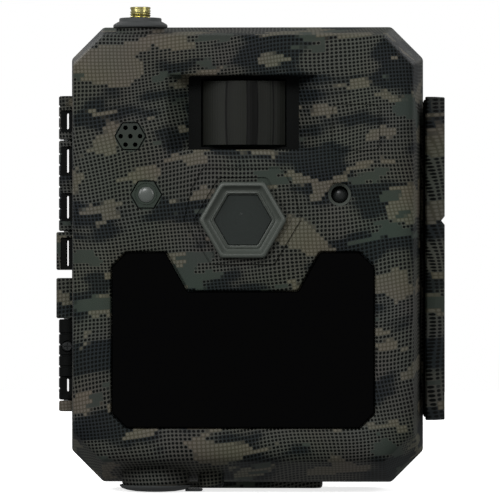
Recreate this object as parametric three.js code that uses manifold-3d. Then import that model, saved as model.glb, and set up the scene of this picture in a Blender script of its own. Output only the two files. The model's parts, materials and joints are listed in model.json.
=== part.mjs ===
import * as THREE from 'three';
import { mergeVertices } from 'three/addons/utils/BufferGeometryUtils.js';
import Module from 'manifold-3d';

const wasm = await Module();
wasm.setup();

// Trail camera, millimetres. The front looks along -Y, +Z is up and +X is the latch side.
// While it is being built, x = 0 is the middle of the case, y = 0 the rear edge of the front
// cover and z = 0 the bottom edge of the case. The last group moves it to its own origin:
// the middle of the base that it stands on.

// ---- batteries: twelve cells that stand in two rows of six ----
const cellRadius = 7.25;
const cellLength = 50.5;
const cellNub = { radius: 2.7, height: 1.2 };
const cellGap = 0.7;
const cellColumns = 6;
const cellRows = 2;
const cellPitch = 2 * cellRadius + cellGap;
const springHeight = 4.5;
const padHeight = 1.2;
const contactPlate = 1;
const contactPlay = 0.3;
const cellFloorGap = 0.4;
const cellCoverGap = 0.6;
const coverThickness = 1.6;
const coverSink = 2.4;
const bayPlate = 1.6;

// ---- case: its width and its rear depth follow from the cells ----
const caseSide = 8.9;
const bodyWidth = cellColumns * cellPitch + 2 * caseSide;
const bodyHeight = 141;
const cornerChamfer = 9.8;
const frontDepth = 39;
const wall = 2.5;
const rearDepth = coverSink + coverThickness + cellCoverGap + 2 * cellRadius + cellFloorGap + wall;
const standoffDepth = 14.5;
const footHeight = 2.2;
const rimWidth = 7;
const rimThickness = 2.5;
const seamGap = 0.5;
const fitGap = 0.3;
const halfWidth = bodyWidth / 2;

// ---- optics on the front face ----
const lensFromTop = 60;
const lensWindowRadius = 8.3;
const bezelWall = 2.1;
const bezelFlange = 2.95;
const bezelHeight = 2;
const lensBarrelRadius = lensWindowRadius - 2.3;
const bezelHubRadius = lensWindowRadius + bezelWall;
const bezelRadius = bezelHubRadius + bezelFlange;
const pirFromTop = 16.1;
const pirHeight = 22.6;
const pirMouthWidth = 45.9;
const pirFloorWidth = 33.6;
const pirPocketDepth = 8.6;
const pirLensWidth = 25.4;
const pirLensRise = 5.7;
const pirLensSink = 3.2;
const pirLensWall = 1.1;
const pirLensSeat = 1.6;
const pirLensRadius = ((pirLensWidth / 2) ** 2 + pirLensRise ** 2) / (2 * pirLensRise);
const sensorOffset = { x: 29.3, z: 7.7 };
const sensorRadius = 2.45;
const statusLed = { radius: 2.6, wellRadius: 4.2, wellDepth: 1.6, sink: 4.4 };
const micPlace = { x: -34.1, fromTop: 34.6 };
const micHoleRadius = 0.75;
const micRingRadius = 2.95;
const micRadius = 4.2;
const badge = { x: 34.3, fromTop: 32.1, width: 14.6, height: 14.2, radius: 2 };
const badgeLine = 0.35;

// ---- infrared window and its board ----
const irWindowWidth = 79.8;
const irWindowBottom = 17.9;
const irWindowBelowLens = 9.7;
const irNotchBelowLens = 21.6;
const irNotchTop = 23.3;
const irNotchBottom = 16.7;
const irWindowChamfer = 4.5;
const irWindowThickness = 1.8;
const irWindowSink = 0.4;
const ledPitch = 8.2;
const ledRadius = 2.5;

// ---- hinge, on the left ----
const hingeOut = 1.3;
const knuckleRadius = 2.8;
const bulgeRadius = 3.6;
const knuckleGap = 0.3;
const hingeTop = 21.3;
const blockGap = 2.5;
const hingePinRadius = 1.3;
const coreSlit = 1;
const turnGap = 0.3;

// ---- latch, on the right ----
const latchHeight = 99.4;
const latchFromTop = 22;
const latchOuter = 6.7;
const latchPivotOut = 3.1;
const latchBack = 14.5;
const latchReach = 29;
const latchPinRadius = 1.2;
const latchKnuckleRadius = 3;
const latchLugHeight = 5;

// ---- control panel inside the front cover ----
const panelThickness = 2;
const lcd = { width: 52, height: 41, viewWidth: 46, viewHeight: 35, thickness: 2.4, fromTop: 45 };
const panelSink = 0.5;
const keyRadius = 4;
const keyFlange = 0.9;
const keyPitch = 2 * (keyRadius + keyFlange) + 1.7;
const keyTravel = 0.8;
const keyStand = 1.1;
const keyCross = { x: -24, z: 46 };
const switchPlace = { x: 22, z: 60 };
const switchKnob = { width: 6, height: 3.6, travel: 3 };
const boardThickness = 1.6;
const boardDepth = 12.4;
const panelScrew = { fromSide: 11.3, fromEnd: 13.5, radius: 1.3, headRadius: 2.6, length: 10 };
const screwBossRadius = 3.2;
const panelScrewX = halfWidth - panelScrew.fromSide;
const cardSpacing = 1.4;
const pocketWall = 1.4;
const cardPocket = { x1: panelScrewX - screwBossRadius - 0.2 - pocketWall, z0: 12, z1: 32, depth: 10.6 };
const sdCard = { width: 24, height: 32, thickness: 2.1, corner: 3, proud: 3.5, tray: 30 };
const simCard = { width: 12, height: 15, thickness: 0.8, corner: 2, proud: 2.5, tray: 14 };
sdCard.x = cardPocket.x1 - 0.8 - sdCard.width / 2;
simCard.x = sdCard.x - (sdCard.width + simCard.width) / 2 - cardSpacing;
cardPocket.x0 = simCard.x - simCard.width / 2 - 2.2;

// ---- ports ----
const smaPlace = { x: -32, y: -22 };
const smaThreadRadius = 3.17;
const smaSeat = { fromTop: 1.2, discRadius: 8.35, capRadius: 6.5, discHeight: 1.9, capHeight: 1.2 };
const smaBossRadius = smaThreadRadius + 4.23;
const smaShoulderRadius = smaThreadRadius + 1.03;
const smaProud = 3.4;
const coaxRadius = 0.8;
const dcPlace = { x: -27.5, y: -19 };
const dcBossRadius = 10.4;
const dcHoleRadius = 4.9;
const dcJackRadius = dcHoleRadius + 0.8;
const dcTether = { reach: dcBossRadius + 3.6, width: 4.8, thickness: 0.8, anchorRadius: 4 };
const dcPlug = { radius: dcBossRadius + 0.8, spigotRadius: dcHoleRadius - 0.5, spigotHeight: 2.4 };

// ---- back ----
const ear = { x: 27, thickness: 4.6, height: 96, chamfer: 10 };
const strapSlot = { height: 28, depth: 5, behindWall: 4.2 };
const lockHoleRadius = 4.5;
const lockHoleFromMiddle = 34;
const lockHoleBehindWall = 6.4;
const foot = { width: 46, depth: 17, behindBack: 1.5 };
const insertRadius = 4.6;
const tripodBoreRadius = 2.9;
const tripodDepth = 10;

// ---- derived places ----
const faceY = -frontDepth;
const rearY = seamGap;
const backY = seamGap + rearDepth;
const lensZ = bodyHeight - lensFromTop;
const pirTop = bodyHeight - pirFromTop;
const pirZ = pirTop - pirHeight / 2;
const hingeX = -halfWidth - hingeOut;
const hingeY = seamGap / 2;
const latchX = halfWidth + latchPivotOut;
const latchFront = latchBack - latchReach;
const latchTopZ = bodyHeight - latchFromTop;
const latchBottomZ = latchTopZ - latchHeight;
const bayFloorY = backY - wall;
const cellY = bayFloorY - cellFloorGap - cellRadius;
const bayHalfWidth = (cellColumns * cellPitch) / 2 + 0.5;
const bayHeight = cellRows * cellLength + springHeight + padHeight + 2 * contactPlate + contactPlay;
const bayBottom = bodyHeight / 2 - bayHeight / 2;
const bayTop = bayBottom + bayHeight;
const coverBackY = cellY - cellRadius - cellCoverGap;
const coverFrontY = coverBackY - coverThickness;
const panelFrontY = -panelSink;
const panelBackY = panelFrontY - panelThickness;
const boardFrontY = -boardDepth - boardThickness;
const micZ = bodyHeight - micPlace.fromTop;
const sensorZ = lensZ + sensorOffset.z;
const smaZ = bodyHeight - smaSeat.fromTop;
const dcBossBottom = -footHeight / 2;
const dcPlugTop = dcBossBottom - 0.15;
const insertY = backY - foot.behindBack - foot.depth / 2;

// ---- solids ----
function solid(geometry) {
  geometry.deleteAttribute('normal');
  geometry.deleteAttribute('uv');
  const merged = mergeVertices(geometry, 1e-4);
  return new wasm.Manifold(new wasm.Mesh({
    numProp: 3,
    vertProperties: new Float32Array(merged.attributes.position.array),
    triVerts: new Uint32Array(merged.index.array),
  }));
}

function box(x0, x1, y0, y1, z0, z1) {
  const geometry = new THREE.BoxGeometry(x1 - x0, y1 - y0, z1 - z0);
  geometry.translate((x0 + x1) / 2, (y0 + y1) / 2, (z0 + z1) / 2);
  return solid(geometry);
}

function shapeOf(points) {
  return new THREE.Shape(points.map(([a, b]) => new THREE.Vector2(a, b)));
}

function extruded(shape, length, curveSegments = 8) {
  return new THREE.ExtrudeGeometry(shape, { depth: length, bevelEnabled: false, curveSegments });
}

// An outline in x and z, carried along y.
function prismY(points, y0, y1) {
  const geometry = extruded(shapeOf(points), y1 - y0);
  geometry.rotateX(Math.PI / 2);
  geometry.translate(0, y1, 0);
  return solid(geometry);
}

// An outline in x and y, carried along z.
function prismZ(points, z0, z1) {
  const geometry = extruded(shapeOf(points), z1 - z0);
  geometry.translate(0, 0, z0);
  return solid(geometry);
}

// An outline in y and z, carried along x.
function prismX(points, x0, x1) {
  const geometry = extruded(shapeOf(points), x1 - x0);
  const turn = new THREE.Matrix4().set(0, 0, 1, 0, 1, 0, 0, 0, 0, 1, 0, 0, 0, 0, 0, 1);
  geometry.applyMatrix4(turn);
  geometry.translate(x0, 0, 0);
  return solid(geometry);
}

function rodZ(x, y, radius, z0, z1, sides = 16) {
  const geometry = new THREE.CylinderGeometry(radius, radius, z1 - z0, sides);
  geometry.rotateX(Math.PI / 2);
  geometry.translate(x, y, (z0 + z1) / 2);
  return solid(geometry);
}

function rodY(x, z, radius, y0, y1, sides = 16) {
  const geometry = new THREE.CylinderGeometry(radius, radius, y1 - y0, sides);
  geometry.translate(x, (y0 + y1) / 2, z);
  return solid(geometry);
}

// A turned shape: profile points are [radius, height], the height running along -Y or +Z.
function turned(profile, sides) {
  return new THREE.LatheGeometry(profile.map(([r, h]) => new THREE.Vector2(r, h)), sides);
}

function turnedY(profile, x, y, z, sides = 20) {
  const geometry = turned(profile, sides);
  geometry.rotateX(Math.PI);
  geometry.translate(x, y, z);
  return solid(geometry);
}

function turnedZ(profile, x, y, z, sides = 20) {
  const geometry = turned(profile, sides);
  geometry.rotateX(Math.PI / 2);
  geometry.translate(x, y, z);
  return solid(geometry);
}

function chamferedRect(x0, x1, z0, z1, c) {
  return [
    [x0 + c, z0], [x1 - c, z0], [x1, z0 + c], [x1, z1 - c],
    [x1 - c, z1], [x0 + c, z1], [x0, z1 - c], [x0, z0 + c],
  ];
}

function roundedRect(width, height, radius, cx, cz) {
  const points = [];
  for (const [sx, sz, start] of [[1, -1, -90], [1, 1, 0], [-1, 1, 90], [-1, -1, 180]]) {
    for (let step = 0; step <= 3; step += 1) {
      const a = THREE.MathUtils.degToRad(start + step * 30);
      points.push([
        cx + sx * (width / 2 - radius) + radius * Math.cos(a),
        cz + sz * (height / 2 - radius) + radius * Math.sin(a),
      ]);
    }
  }
  return points;
}

function hexagon(radius, cx, cz) {
  return Array.from({ length: 6 }, (_, i) => {
    const a = (i * Math.PI) / 3;
    return [cx + radius * Math.cos(a), cz + radius * Math.sin(a)];
  });
}

// A skin through rings of equal point count, each ring lying at its own y, front ring last.
function loft(rings) {
  const count = rings[0].points.length;
  const positions = [];
  rings.forEach((ring) => ring.points.forEach(([x, z]) => positions.push(x, ring.y, z)));
  const index = [];
  for (let r = 0; r < rings.length - 1; r += 1) {
    for (let i = 0; i < count; i += 1) {
      const a = r * count + i;
      const b = r * count + ((i + 1) % count);
      index.push(a, b, a + count, b, b + count, a + count);
    }
  }
  const last = (rings.length - 1) * count;
  for (let i = 1; i < count - 1; i += 1) {
    index.push(0, i + 1, i);
    index.push(last, last + i, last + i + 1);
  }
  const geometry = new THREE.BufferGeometry();
  geometry.setAttribute('position', new THREE.Float32BufferAttribute(positions, 3));
  geometry.setIndex(index);
  return solid(geometry);
}

// One ring of the case: insets from the full outline at the sides, the top and the bottom.
function caseRing(y, side, top, bottom, chamfer) {
  const points = chamferedRect(-halfWidth + side, halfWidth - side, bottom, bodyHeight - top, chamfer);
  return { y, points };
}

function join(parts) {
  return parts.reduce((whole, part) => whole.add(part));
}

function cut(whole, tools) {
  return tools.reduce((rest, tool) => rest.subtract(tool), whole);
}

// ---- hinge layout: knuckles from the top down; true means that it belongs to the door ----
const knuckles = [];
{
  const plan = [
    { door: true, length: 13.5, radius: knuckleRadius, slits: [[3.2, 5]] },
    { door: false, length: 28.1, radius: knuckleRadius, slits: [[18.1, 7.3], [3.9, 7]] },
    { door: true, length: 11.8, radius: bulgeRadius, slits: [[1.2, 8]] },
    { door: true, length: 12.5, radius: bulgeRadius, slits: [], gapAbove: blockGap },
    { door: false, length: 25, radius: knuckleRadius, slits: [[2.5, 4]] },
    { door: true, length: 3.3, radius: knuckleRadius, slits: [] },
  ];
  let top = bodyHeight - hingeTop;
  plan.forEach((knuckle, i) => {
    if (i > 0) {
      top -= knuckle.gapAbove ?? knuckleGap;
    }
    const bottom = top - knuckle.length;
    knuckles.push({ ...knuckle, top, bottom });
    top = bottom;
  });
}

// Each stub pin crosses the joint between two knuckles.
const hingePins = [
  { below: 1, up: 3, down: 2.4 },
  { below: 2, up: 3.6, down: 2.2 },
  { below: 4, up: 5, down: 5 },
  { below: 5, up: 2.2, down: 2.4 },
].map(({ below, up, down }) => ({
  z0: knuckles[below].top - down,
  z1: knuckles[below].top + knuckleGap + up,
}));

function hingeBlock(knuckle, rootFromY, rootToY) {
  const { radius, top, bottom } = knuckle;
  const barrel = rodZ(hingeX, hingeY, radius, bottom, top, 20);
  const root = box(hingeX, -halfWidth + 2, rootFromY, rootToY, bottom, top);
  return barrel.add(root);
}

function hingeCuts(isDoor) {
  const cuts = [];
  knuckles.filter((k) => k.door === isDoor).forEach((knuckle) => {
    knuckle.slits.forEach(([from, length]) => {
      const z0 = knuckle.bottom + from;
      cuts.push(box(hingeX - coreSlit / 2, hingeX + coreSlit / 2, -9, 9, z0, z0 + length));
    });
  });
  const clearance = isDoor ? 0.14 : 0.06;
  hingePins.forEach(({ z0, z1 }) => {
    cuts.push(rodZ(hingeX, hingeY, hingePinRadius + clearance, z0 - 0.1, z1 + 0.1, 12));
  });
  return cuts;
}

// Room in one half of the case for the other half's knuckles.
function hingeReliefs(isDoor) {
  const others = knuckles.filter((k) => k.door !== isDoor);
  return others.map(({ radius, bottom, top }) => (
    rodZ(hingeX, hingeY, radius + turnGap, bottom - knuckleGap, top + knuckleGap, 20)
  ));
}

// ---- front cover ----
const faceRings = [
  caseRing(0, 0, 0, 0, cornerChamfer),
  caseRing(-14, 1.2, 1.6, 1.2, 9.6),
  caseRing(faceY + 4, 2.7, 3.7, 7.5, 9),
  caseRing(faceY + 1.5, 4.8, 5, 10, 8.6),
  caseRing(faceY, 8.5, 7, 13.5, 8),
];

const cavityRings = [
  caseRing(-rimThickness, wall, wall, wall, cornerChamfer - 1),
  caseRing(-14, wall + 1.2, wall + 1.6, wall + 1.2, 8.6),
  caseRing(faceY + 5, wall + 2.7, wall + 3.7, wall + 7.5, 8),
  caseRing(faceY + wall, wall + 6, wall + 5.5, wall + 11, 7.2),
];

function irWindowOutline(inset) {
  const half = irWindowWidth / 2 - inset;
  const c = irWindowChamfer - inset * 0.4;
  const bottom = irWindowBottom + inset;
  const top = lensZ - irWindowBelowLens - inset;
  const notch = lensZ - irNotchBelowLens - inset;
  return [
    [-half + c, bottom], [half - c, bottom], [half, bottom + c], [half, top - c], [half - c, top],
    [irNotchTop + inset, top], [irNotchBottom + inset, notch],
    [-irNotchBottom - inset, notch], [-irNotchTop - inset, top],
    [-half + c, top], [-half, top - c], [-half, bottom + c],
  ];
}

function pirPocket(grow, y0, y1) {
  const mouth = pirMouthWidth / 2 + grow;
  const floor = pirFloorWidth / 2 + grow;
  const outline = [[-floor, y1], [-mouth, y0], [mouth, y0], [floor, y1]];
  return prismZ(outline, pirZ - pirHeight / 2 - grow, pirZ + pirHeight / 2 + grow);
}

function panelScrewPlaces() {
  const heights = [panelScrew.fromEnd, bodyHeight - panelScrew.fromEnd];
  return heights.flatMap((z) => [-1, 1].map((side) => ({ x: side * panelScrewX, z })));
}

function panelBosses() {
  return panelScrewPlaces().map(({ x, z }) => (
    rodY(x, z, screwBossRadius, faceY + 4, panelBackY - 0.1, 12)
  ));
}

function screwPilots() {
  const bottom = panelBackY - panelScrew.length;
  return panelScrewPlaces().map(({ x, z }) => rodY(x, z, panelScrew.radius + 0.05, bottom, 1, 10));
}

function micHole(x, z) {
  return rodY(x, z, micHoleRadius, faceY - 1, faceY + 4, 8);
}

function micHoles() {
  const ring = Array.from({ length: 6 }, (_, i) => (i * Math.PI) / 3);
  return [
    micHole(micPlace.x, micZ),
    ...ring.map((a) => micHole(micPlace.x + micRingRadius * Math.cos(a), micZ + micRingRadius * Math.sin(a))),
  ];
}

// The outline of a blank badge panel, pressed into the face.
function badgeGroove() {
  const { x, width, height, radius } = badge;
  const z = bodyHeight - badge.fromTop;
  const line = badgeLine;
  const outer = prismY(roundedRect(width, height, radius, x, z), faceY - 1, faceY + 0.4);
  const inner = prismY(
    roundedRect(width - 2 * line, height - 2 * line, radius - line, x, z), faceY - 2, faceY + 1,
  );
  return outer.subtract(inner);
}

// The rib that the latch's nose closes over, just behind the nose.
function catchRib() {
  const crest = halfWidth + 0.1;
  const root = halfWidth - 3;
  const front = latchFront + 5.1;
  const outline = [[root, front + 4.4], [crest, front + 4], [crest, front + 1.4], [root, front]];
  return prismZ(outline, latchBottomZ + 6, latchTopZ - 6);
}

function buildFrontCover() {
  const outline = chamferedRect(
    -halfWidth + rimWidth, halfWidth - rimWidth, rimWidth, bodyHeight - rimWidth, cornerChamfer - 3,
  );
  const shell = cut(loft(faceRings), [loft(cavityRings), prismY(outline, -rimThickness - 1, 1)]);
  const added = join([
    shell,
    pirPocket(wall, faceY + 1, faceY + pirPocketDepth + wall),
    ...panelBosses(),
    rodZ(smaPlace.x, smaPlace.y, smaBossRadius, bodyHeight - 9, smaZ, 20),
    rodZ(dcPlace.x, dcPlace.y, dcBossRadius, dcBossBottom, 9, 24),
    rodZ(dcPlace.x + dcTether.reach + 3, dcPlace.y, dcTether.anchorRadius, dcBossBottom + 0.4, 6, 12),
    rodY(-sensorOffset.x, sensorZ, sensorRadius + 2.95, faceY + 1, faceY + 5, 12),
    rodY(sensorOffset.x, sensorZ, statusLed.radius + 2.8, faceY + 1, faceY + 7, 12),
    ...knuckles.filter((k) => k.door).map((k) => hingeBlock(k, hingeY - knuckleRadius + 0.4, 0)),
    catchRib(),
  ]);
  return cut(added, [
    pirPocket(0, faceY - 1, faceY + pirPocketDepth),
    box(
      -pirLensWidth / 2 - fitGap, pirLensWidth / 2 + fitGap, faceY, faceY + 20,
      pirZ - pirHeight / 2 + 1, pirZ + pirHeight / 2 - 1,
    ),
    prismY(hexagon(bezelHubRadius + fitGap, 0, lensZ), faceY - 1, faceY + 9),
    prismY(irWindowOutline(0), faceY - 1, faceY + irWindowSink + irWindowThickness),
    prismY(irWindowOutline(2), faceY - 1, faceY + 9),
    rodY(-sensorOffset.x, sensorZ, sensorRadius + 0.1, faceY - 1, faceY + 9, 16),
    rodY(sensorOffset.x, sensorZ, statusLed.radius, faceY - 1, faceY + 9, 16),
    prismY(hexagon(statusLed.wellRadius, sensorOffset.x, sensorZ), faceY - 1, faceY + statusLed.wellDepth),
    badgeGroove(),
    ...micHoles(),
    ...screwPilots(),
    rodZ(smaPlace.x, smaPlace.y, smaThreadRadius + 0.08, bodyHeight - 20, bodyHeight + 5, 16),
    rodZ(dcPlace.x, dcPlace.y, dcHoleRadius, -5, 12, 20),
    rodZ(dcPlace.x, dcPlace.y, dcJackRadius + 0.2, 1.5, 12, 20),
    ...hingeReliefs(true),
    ...hingeCuts(true),
  ]);
}

// ---- pieces of the front half ----
function buildIrWindow() {
  const y0 = faceY + irWindowSink;
  return prismY(irWindowOutline(0.15), y0, y0 + irWindowThickness - 0.05);
}

function ledPlaces() {
  const places = [];
  const half = irWindowWidth / 2 - 9;
  const columns = Math.floor((2 * half) / ledPitch) + 1;
  const notch = lensZ - irNotchBelowLens;
  const top = lensZ - irWindowBelowLens;
  for (let row = 0; irWindowBottom + 9 + row * ledPitch < top - 7; row += 1) {
    const z = irWindowBottom + 9 + row * ledPitch;
    for (let i = 0; i < columns; i += 1) {
      const x = (i - (columns - 1) / 2) * ledPitch;
      if (z < notch - 6 || Math.abs(x) > irNotchTop + 6) {
        places.push([x, z]);
      }
    }
  }
  return places;
}

function buildIrBoard() {
  const y0 = faceY + 8;
  const board = prismY(irWindowOutline(3.4), y0, y0 + boardThickness);
  const leds = ledPlaces().map(([x, z]) => rodY(x, z, ledRadius, y0 - 2.6, y0 + 0.5, 6));
  return join([board, ...leds]);
}

function arcOutline(radius, halfWidthOfArc, thickness, cy) {
  const points = [];
  const span = Math.asin(halfWidthOfArc / radius);
  const steps = 12;
  for (let i = 0; i <= steps; i += 1) {
    const a = -span + (2 * span * i) / steps;
    points.push([radius * Math.sin(a), cy - radius * Math.cos(a)]);
  }
  for (let i = steps; i >= 0; i -= 1) {
    const a = -span + (2 * span * i) / steps;
    points.push([(radius - thickness) * Math.sin(a), cy - (radius - thickness) * Math.cos(a)]);
  }
  return points;
}

function buildPirLens() {
  const front = faceY + pirLensSink;
  const z0 = pirZ - pirHeight / 2 + 1 + fitGap;
  const z1 = pirZ + pirHeight / 2 - 1 - fitGap;
  const half = pirLensWidth / 2;
  const lensBackY = Math.max(faceY + pirPocketDepth, front + pirLensRise) + pirLensSeat;
  const dome = prismZ(arcOutline(pirLensRadius, half, pirLensWall, front + pirLensRadius), z0, z1);
  const sides = [-half, half - 1].map((x0) => box(x0, x0 + 1, front + pirLensRise, lensBackY, z0, z1));
  return join([dome, ...sides]);
}

function buildPirSensor() {
  const can = rodY(0, pirZ, 4.6, faceY + 16, faceY + 20.2, 16);
  const flange = rodY(0, pirZ, 5.2, faceY + 19.6, faceY + 20.4, 16);
  const eye = box(-2, 2, faceY + 15.7, faceY + 17, pirZ - 1.5, pirZ + 1.5);
  const legs = box(-3, 3, faceY + 20, boardFrontY - 0.1, pirZ - 1, pirZ + 1);
  return join([can, flange, eye, legs]);
}

function buildBezel() {
  const front = faceY - bezelHeight;
  const lip = loft([
    { y: faceY - 0.05, points: hexagon(bezelRadius, 0, lensZ) },
    { y: front + 0.6, points: hexagon(bezelRadius, 0, lensZ) },
    { y: front, points: hexagon(bezelRadius - 0.6, 0, lensZ) },
  ]);
  const hub = prismY(hexagon(bezelHubRadius, 0, lensZ), faceY - 0.5, faceY + 6);
  const bevel = loft([
    { y: faceY + 0.4, points: hexagon(lensWindowRadius + 1.3, 0, lensZ) },
    { y: faceY - 0.6, points: hexagon(lensWindowRadius + 1.9, 0, lensZ) },
    { y: front - 0.1, points: hexagon(bezelRadius - 1.6, 0, lensZ) },
  ]);
  const seat = prismY(hexagon(lensWindowRadius + 0.7, 0, lensZ), faceY - 1, faceY + 2);
  const bore = prismY(hexagon(lensWindowRadius - 0.6, 0, lensZ), faceY - 1, faceY + 7);
  return cut(lip.add(hub), [bevel, seat, bore]);
}

function buildLensWindow() {
  return prismY(hexagon(lensWindowRadius + 0.5, 0, lensZ), faceY + 0.9, faceY + 1.9);
}

function buildLensBarrel() {
  const r = lensBarrelRadius;
  const profile = [
    [0, 0], [r - 1, 0], [r - 1, 5], [r, 5], [r, 12], [r - 0.8, 12], [r - 0.8, 12.8],
    [r - 2.6, 12.8], [r - 3.4, 12], [0, 12.4],
  ];
  return turnedY(profile, 0, faceY + 16.2, lensZ, 20);
}

function buildCameraBoard() {
  const y1 = boardFrontY - 0.4;
  const y0 = faceY + 16.4;
  const holder = box(-10, 10, y0, y1 - 1.4, lensZ - 10, lensZ + 10);
  const board = box(-14, 14, y1 - 1.5, y1, lensZ - 12, lensZ + 12);
  const bore = rodY(0, lensZ, 3.6, y0 - 1, y1 - 2, 12);
  const slot = box(-11, 11, y0 + 1.4, y0 + 2.8, lensZ - 4.4, lensZ + 4.4);
  return cut(holder.add(board), [bore, slot]);
}

function buildIrCutFilter() {
  const y0 = faceY + 16.4 + 1.6;
  const frame = box(-8.6, 4.6, y0, y0 + 1, lensZ - 4.1, lensZ + 4.1);
  return frame.subtract(rodY(-4.4, lensZ, 2.6, y0 - 1, y0 + 2, 12));
}

function buildSensorLens() {
  const profile = [[0, -4.4], [sensorRadius, -4.4], [sensorRadius, 0], [1.6, 0.45], [0, 0.6]];
  return turnedY(profile, -sensorOffset.x, faceY + 0.2, sensorZ, 16);
}

function buildStatusLed() {
  const r = statusLed.radius - 0.15;
  const flange = r + 0.45;
  const profile = [[0, -5.5], [flange, -5.5], [flange, -4.7], [r, -4.7], [r, -1], [r * 0.65, 0.2], [0, 0.6]];
  return turnedY(profile, sensorOffset.x, faceY + statusLed.sink, sensorZ, 16);
}

function buildMicrophone() {
  return rodY(micPlace.x, micZ, micRadius, faceY + wall + 0.3, faceY + wall + 3.3, 16);
}

function buildMainBoard() {
  const y0 = boardFrontY;
  const y1 = -boardDepth;
  const halfBoard = halfWidth - 11.5;
  const board = box(-halfBoard, halfBoard, y0, y1, 19, bodyHeight - 19);
  const chips = [
    box(-12, 4, y1 - 0.2, y1 + 1.4, 62, 78),
    box(10, 22, y1 - 0.2, y1 + 1.2, 68, 78),
    box(-36, -26, y1 - 0.2, y1 + 1.6, 66, 80),
    box(-38, -20, y1 - 0.2, y1 + 2.8, bodyHeight - 38, bodyHeight - 22),
  ];
  const domes = keyPlaces().map(({ x, z }) => rodY(x, z, 2.2, y1 - 0.2, y1 + 0.5, 8));
  return join([board, ...chips, ...domes]);
}

function keyPlaces() {
  return [
    { name: 'key_ok', x: keyCross.x, z: keyCross.z },
    { name: 'key_up', x: keyCross.x, z: keyCross.z + keyPitch },
    { name: 'key_down', x: keyCross.x, z: keyCross.z - keyPitch },
    { name: 'key_left', x: keyCross.x - keyPitch, z: keyCross.z },
    { name: 'key_right', x: keyCross.x + keyPitch, z: keyCross.z },
  ];
}

function buildKey({ x, z }) {
  const cap = rodY(x, z, keyRadius, panelBackY - 0.9, panelFrontY + keyStand, 16);
  const flange = rodY(x, z, keyRadius + keyFlange, panelBackY - 1.1, panelBackY - 0.2, 16);
  const stem = rodY(x, z, 1.5, -boardDepth + 0.5 + keyTravel + 0.2, panelBackY - 1, 8);
  return join([cap, flange, stem]);
}

function buildInnerPanel() {
  const gap = rimWidth + fitGap;
  const lcdZ = bodyHeight - lcd.fromTop;
  const outline = chamferedRect(
    -halfWidth + gap, halfWidth - gap, gap, bodyHeight - gap, cornerChamfer - 3.1,
  );
  const plate = prismY(outline, panelBackY, panelFrontY);
  const { x0, x1, z0, z1, depth } = cardPocket;
  const pocketWalls = box(
    x0 - pocketWall, x1 + pocketWall, -depth - 1.2, panelBackY + 0.2, z0 - pocketWall, z1 + pocketWall,
  );
  const screws = panelScrewPlaces().flatMap(({ x, z }) => [
    rodY(x, z, panelScrew.radius + 0.2, panelBackY - 1, 1, 10),
    rodY(x, z, panelScrew.headRadius + 0.2, panelFrontY - 1.2, 1, 12),
  ]);
  const view = { w: lcd.viewWidth / 2, h: lcd.viewHeight / 2 };
  return cut(plate.add(pocketWalls), [
    box(x0, x1, -depth, 1, z0, z1),
    box(-view.w, view.w, -9, 1, lcdZ - view.h, lcdZ + view.h),
    ...keyPlaces().map(({ x, z }) => rodY(x, z, keyRadius + 0.4, -9, 1, 16)),
    box(
      switchPlace.x - switchKnob.width / 2 - switchKnob.travel - 0.4,
      switchPlace.x + switchKnob.width / 2 + switchKnob.travel + 0.4, -9, 1,
      switchPlace.z - switchKnob.height / 2 - 0.4, switchPlace.z + switchKnob.height / 2 + 0.4,
    ),
    cardSlot(sdCard),
    cardSlot(simCard),
    ...screws,
  ]);
}

function cardMiddleY(card) {
  return -boardDepth + 1.2 + card.thickness / 2 + 1.4;
}

function cardSlot(card) {
  const y = cardMiddleY(card);
  const half = card.thickness / 2 + 0.4;
  const z0 = cardPocket.z1 - 1;
  return box(card.x - card.width / 2 - 0.4, card.x + card.width / 2 + 0.4, y - half, y + half, z0, z0 + 5);
}

// One tray holds both cards; each goes in from its lower edge.
function buildCardSockets() {
  const z0 = cardPocket.z1 + 1.7;
  const trays = [sdCard, simCard].map((card) => {
    const y = cardMiddleY(card);
    const half = card.width / 2 + 1.6;
    const inner = card.width / 2 + 0.3;
    const gap = card.thickness / 2 + 0.3;
    const top = y + card.thickness / 2 + 1.2;
    return {
      body: box(card.x - half, card.x + half, -boardDepth + 0.1, top, z0, z0 + card.tray),
      room: box(card.x - inner, card.x + inner, y - gap, y + gap, z0 - 1, z0 + card.tray - 1.5),
    };
  });
  return cut(join(trays.map((tray) => tray.body)), trays.map((tray) => tray.room));
}

function buildCard(card) {
  const y = cardMiddleY(card);
  const z0 = cardPocket.z1 - card.proud;
  const x0 = card.x - card.width / 2;
  const x1 = card.x + card.width / 2;
  const z1 = z0 + card.height;
  const outline = [[x0, z0], [x1, z0], [x1, z1 - card.corner], [x1 - card.corner, z1], [x0, z1]];
  return prismY(outline, y - card.thickness / 2, y + card.thickness / 2);
}

function buildPowerSwitch() {
  const { x, z } = switchPlace;
  const knob = box(
    x - switchKnob.width / 2, x + switchKnob.width / 2, panelBackY - 0.4, panelFrontY + 1.2,
    z - switchKnob.height / 2, z + switchKnob.height / 2,
  );
  const base = box(x - 8.5, x + 8.5, panelBackY - 1.6, panelBackY - 0.3, z - 3.6, z + 3.6);
  return knob.add(base);
}

function buildLcd() {
  const z = bodyHeight - lcd.fromTop;
  const y1 = panelBackY - 0.1;
  const half = { w: lcd.width / 2, h: lcd.height / 2 };
  const glass = box(-half.w, half.w, y1 - lcd.thickness, y1, z - half.h, z + half.h);
  const view = { w: lcd.viewWidth / 2 - 0.3, h: lcd.viewHeight / 2 - 0.3 };
  return glass.add(box(-view.w, view.w, y1 - 0.5, y1 + 1.1, z - view.h, z + view.h));
}

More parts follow.
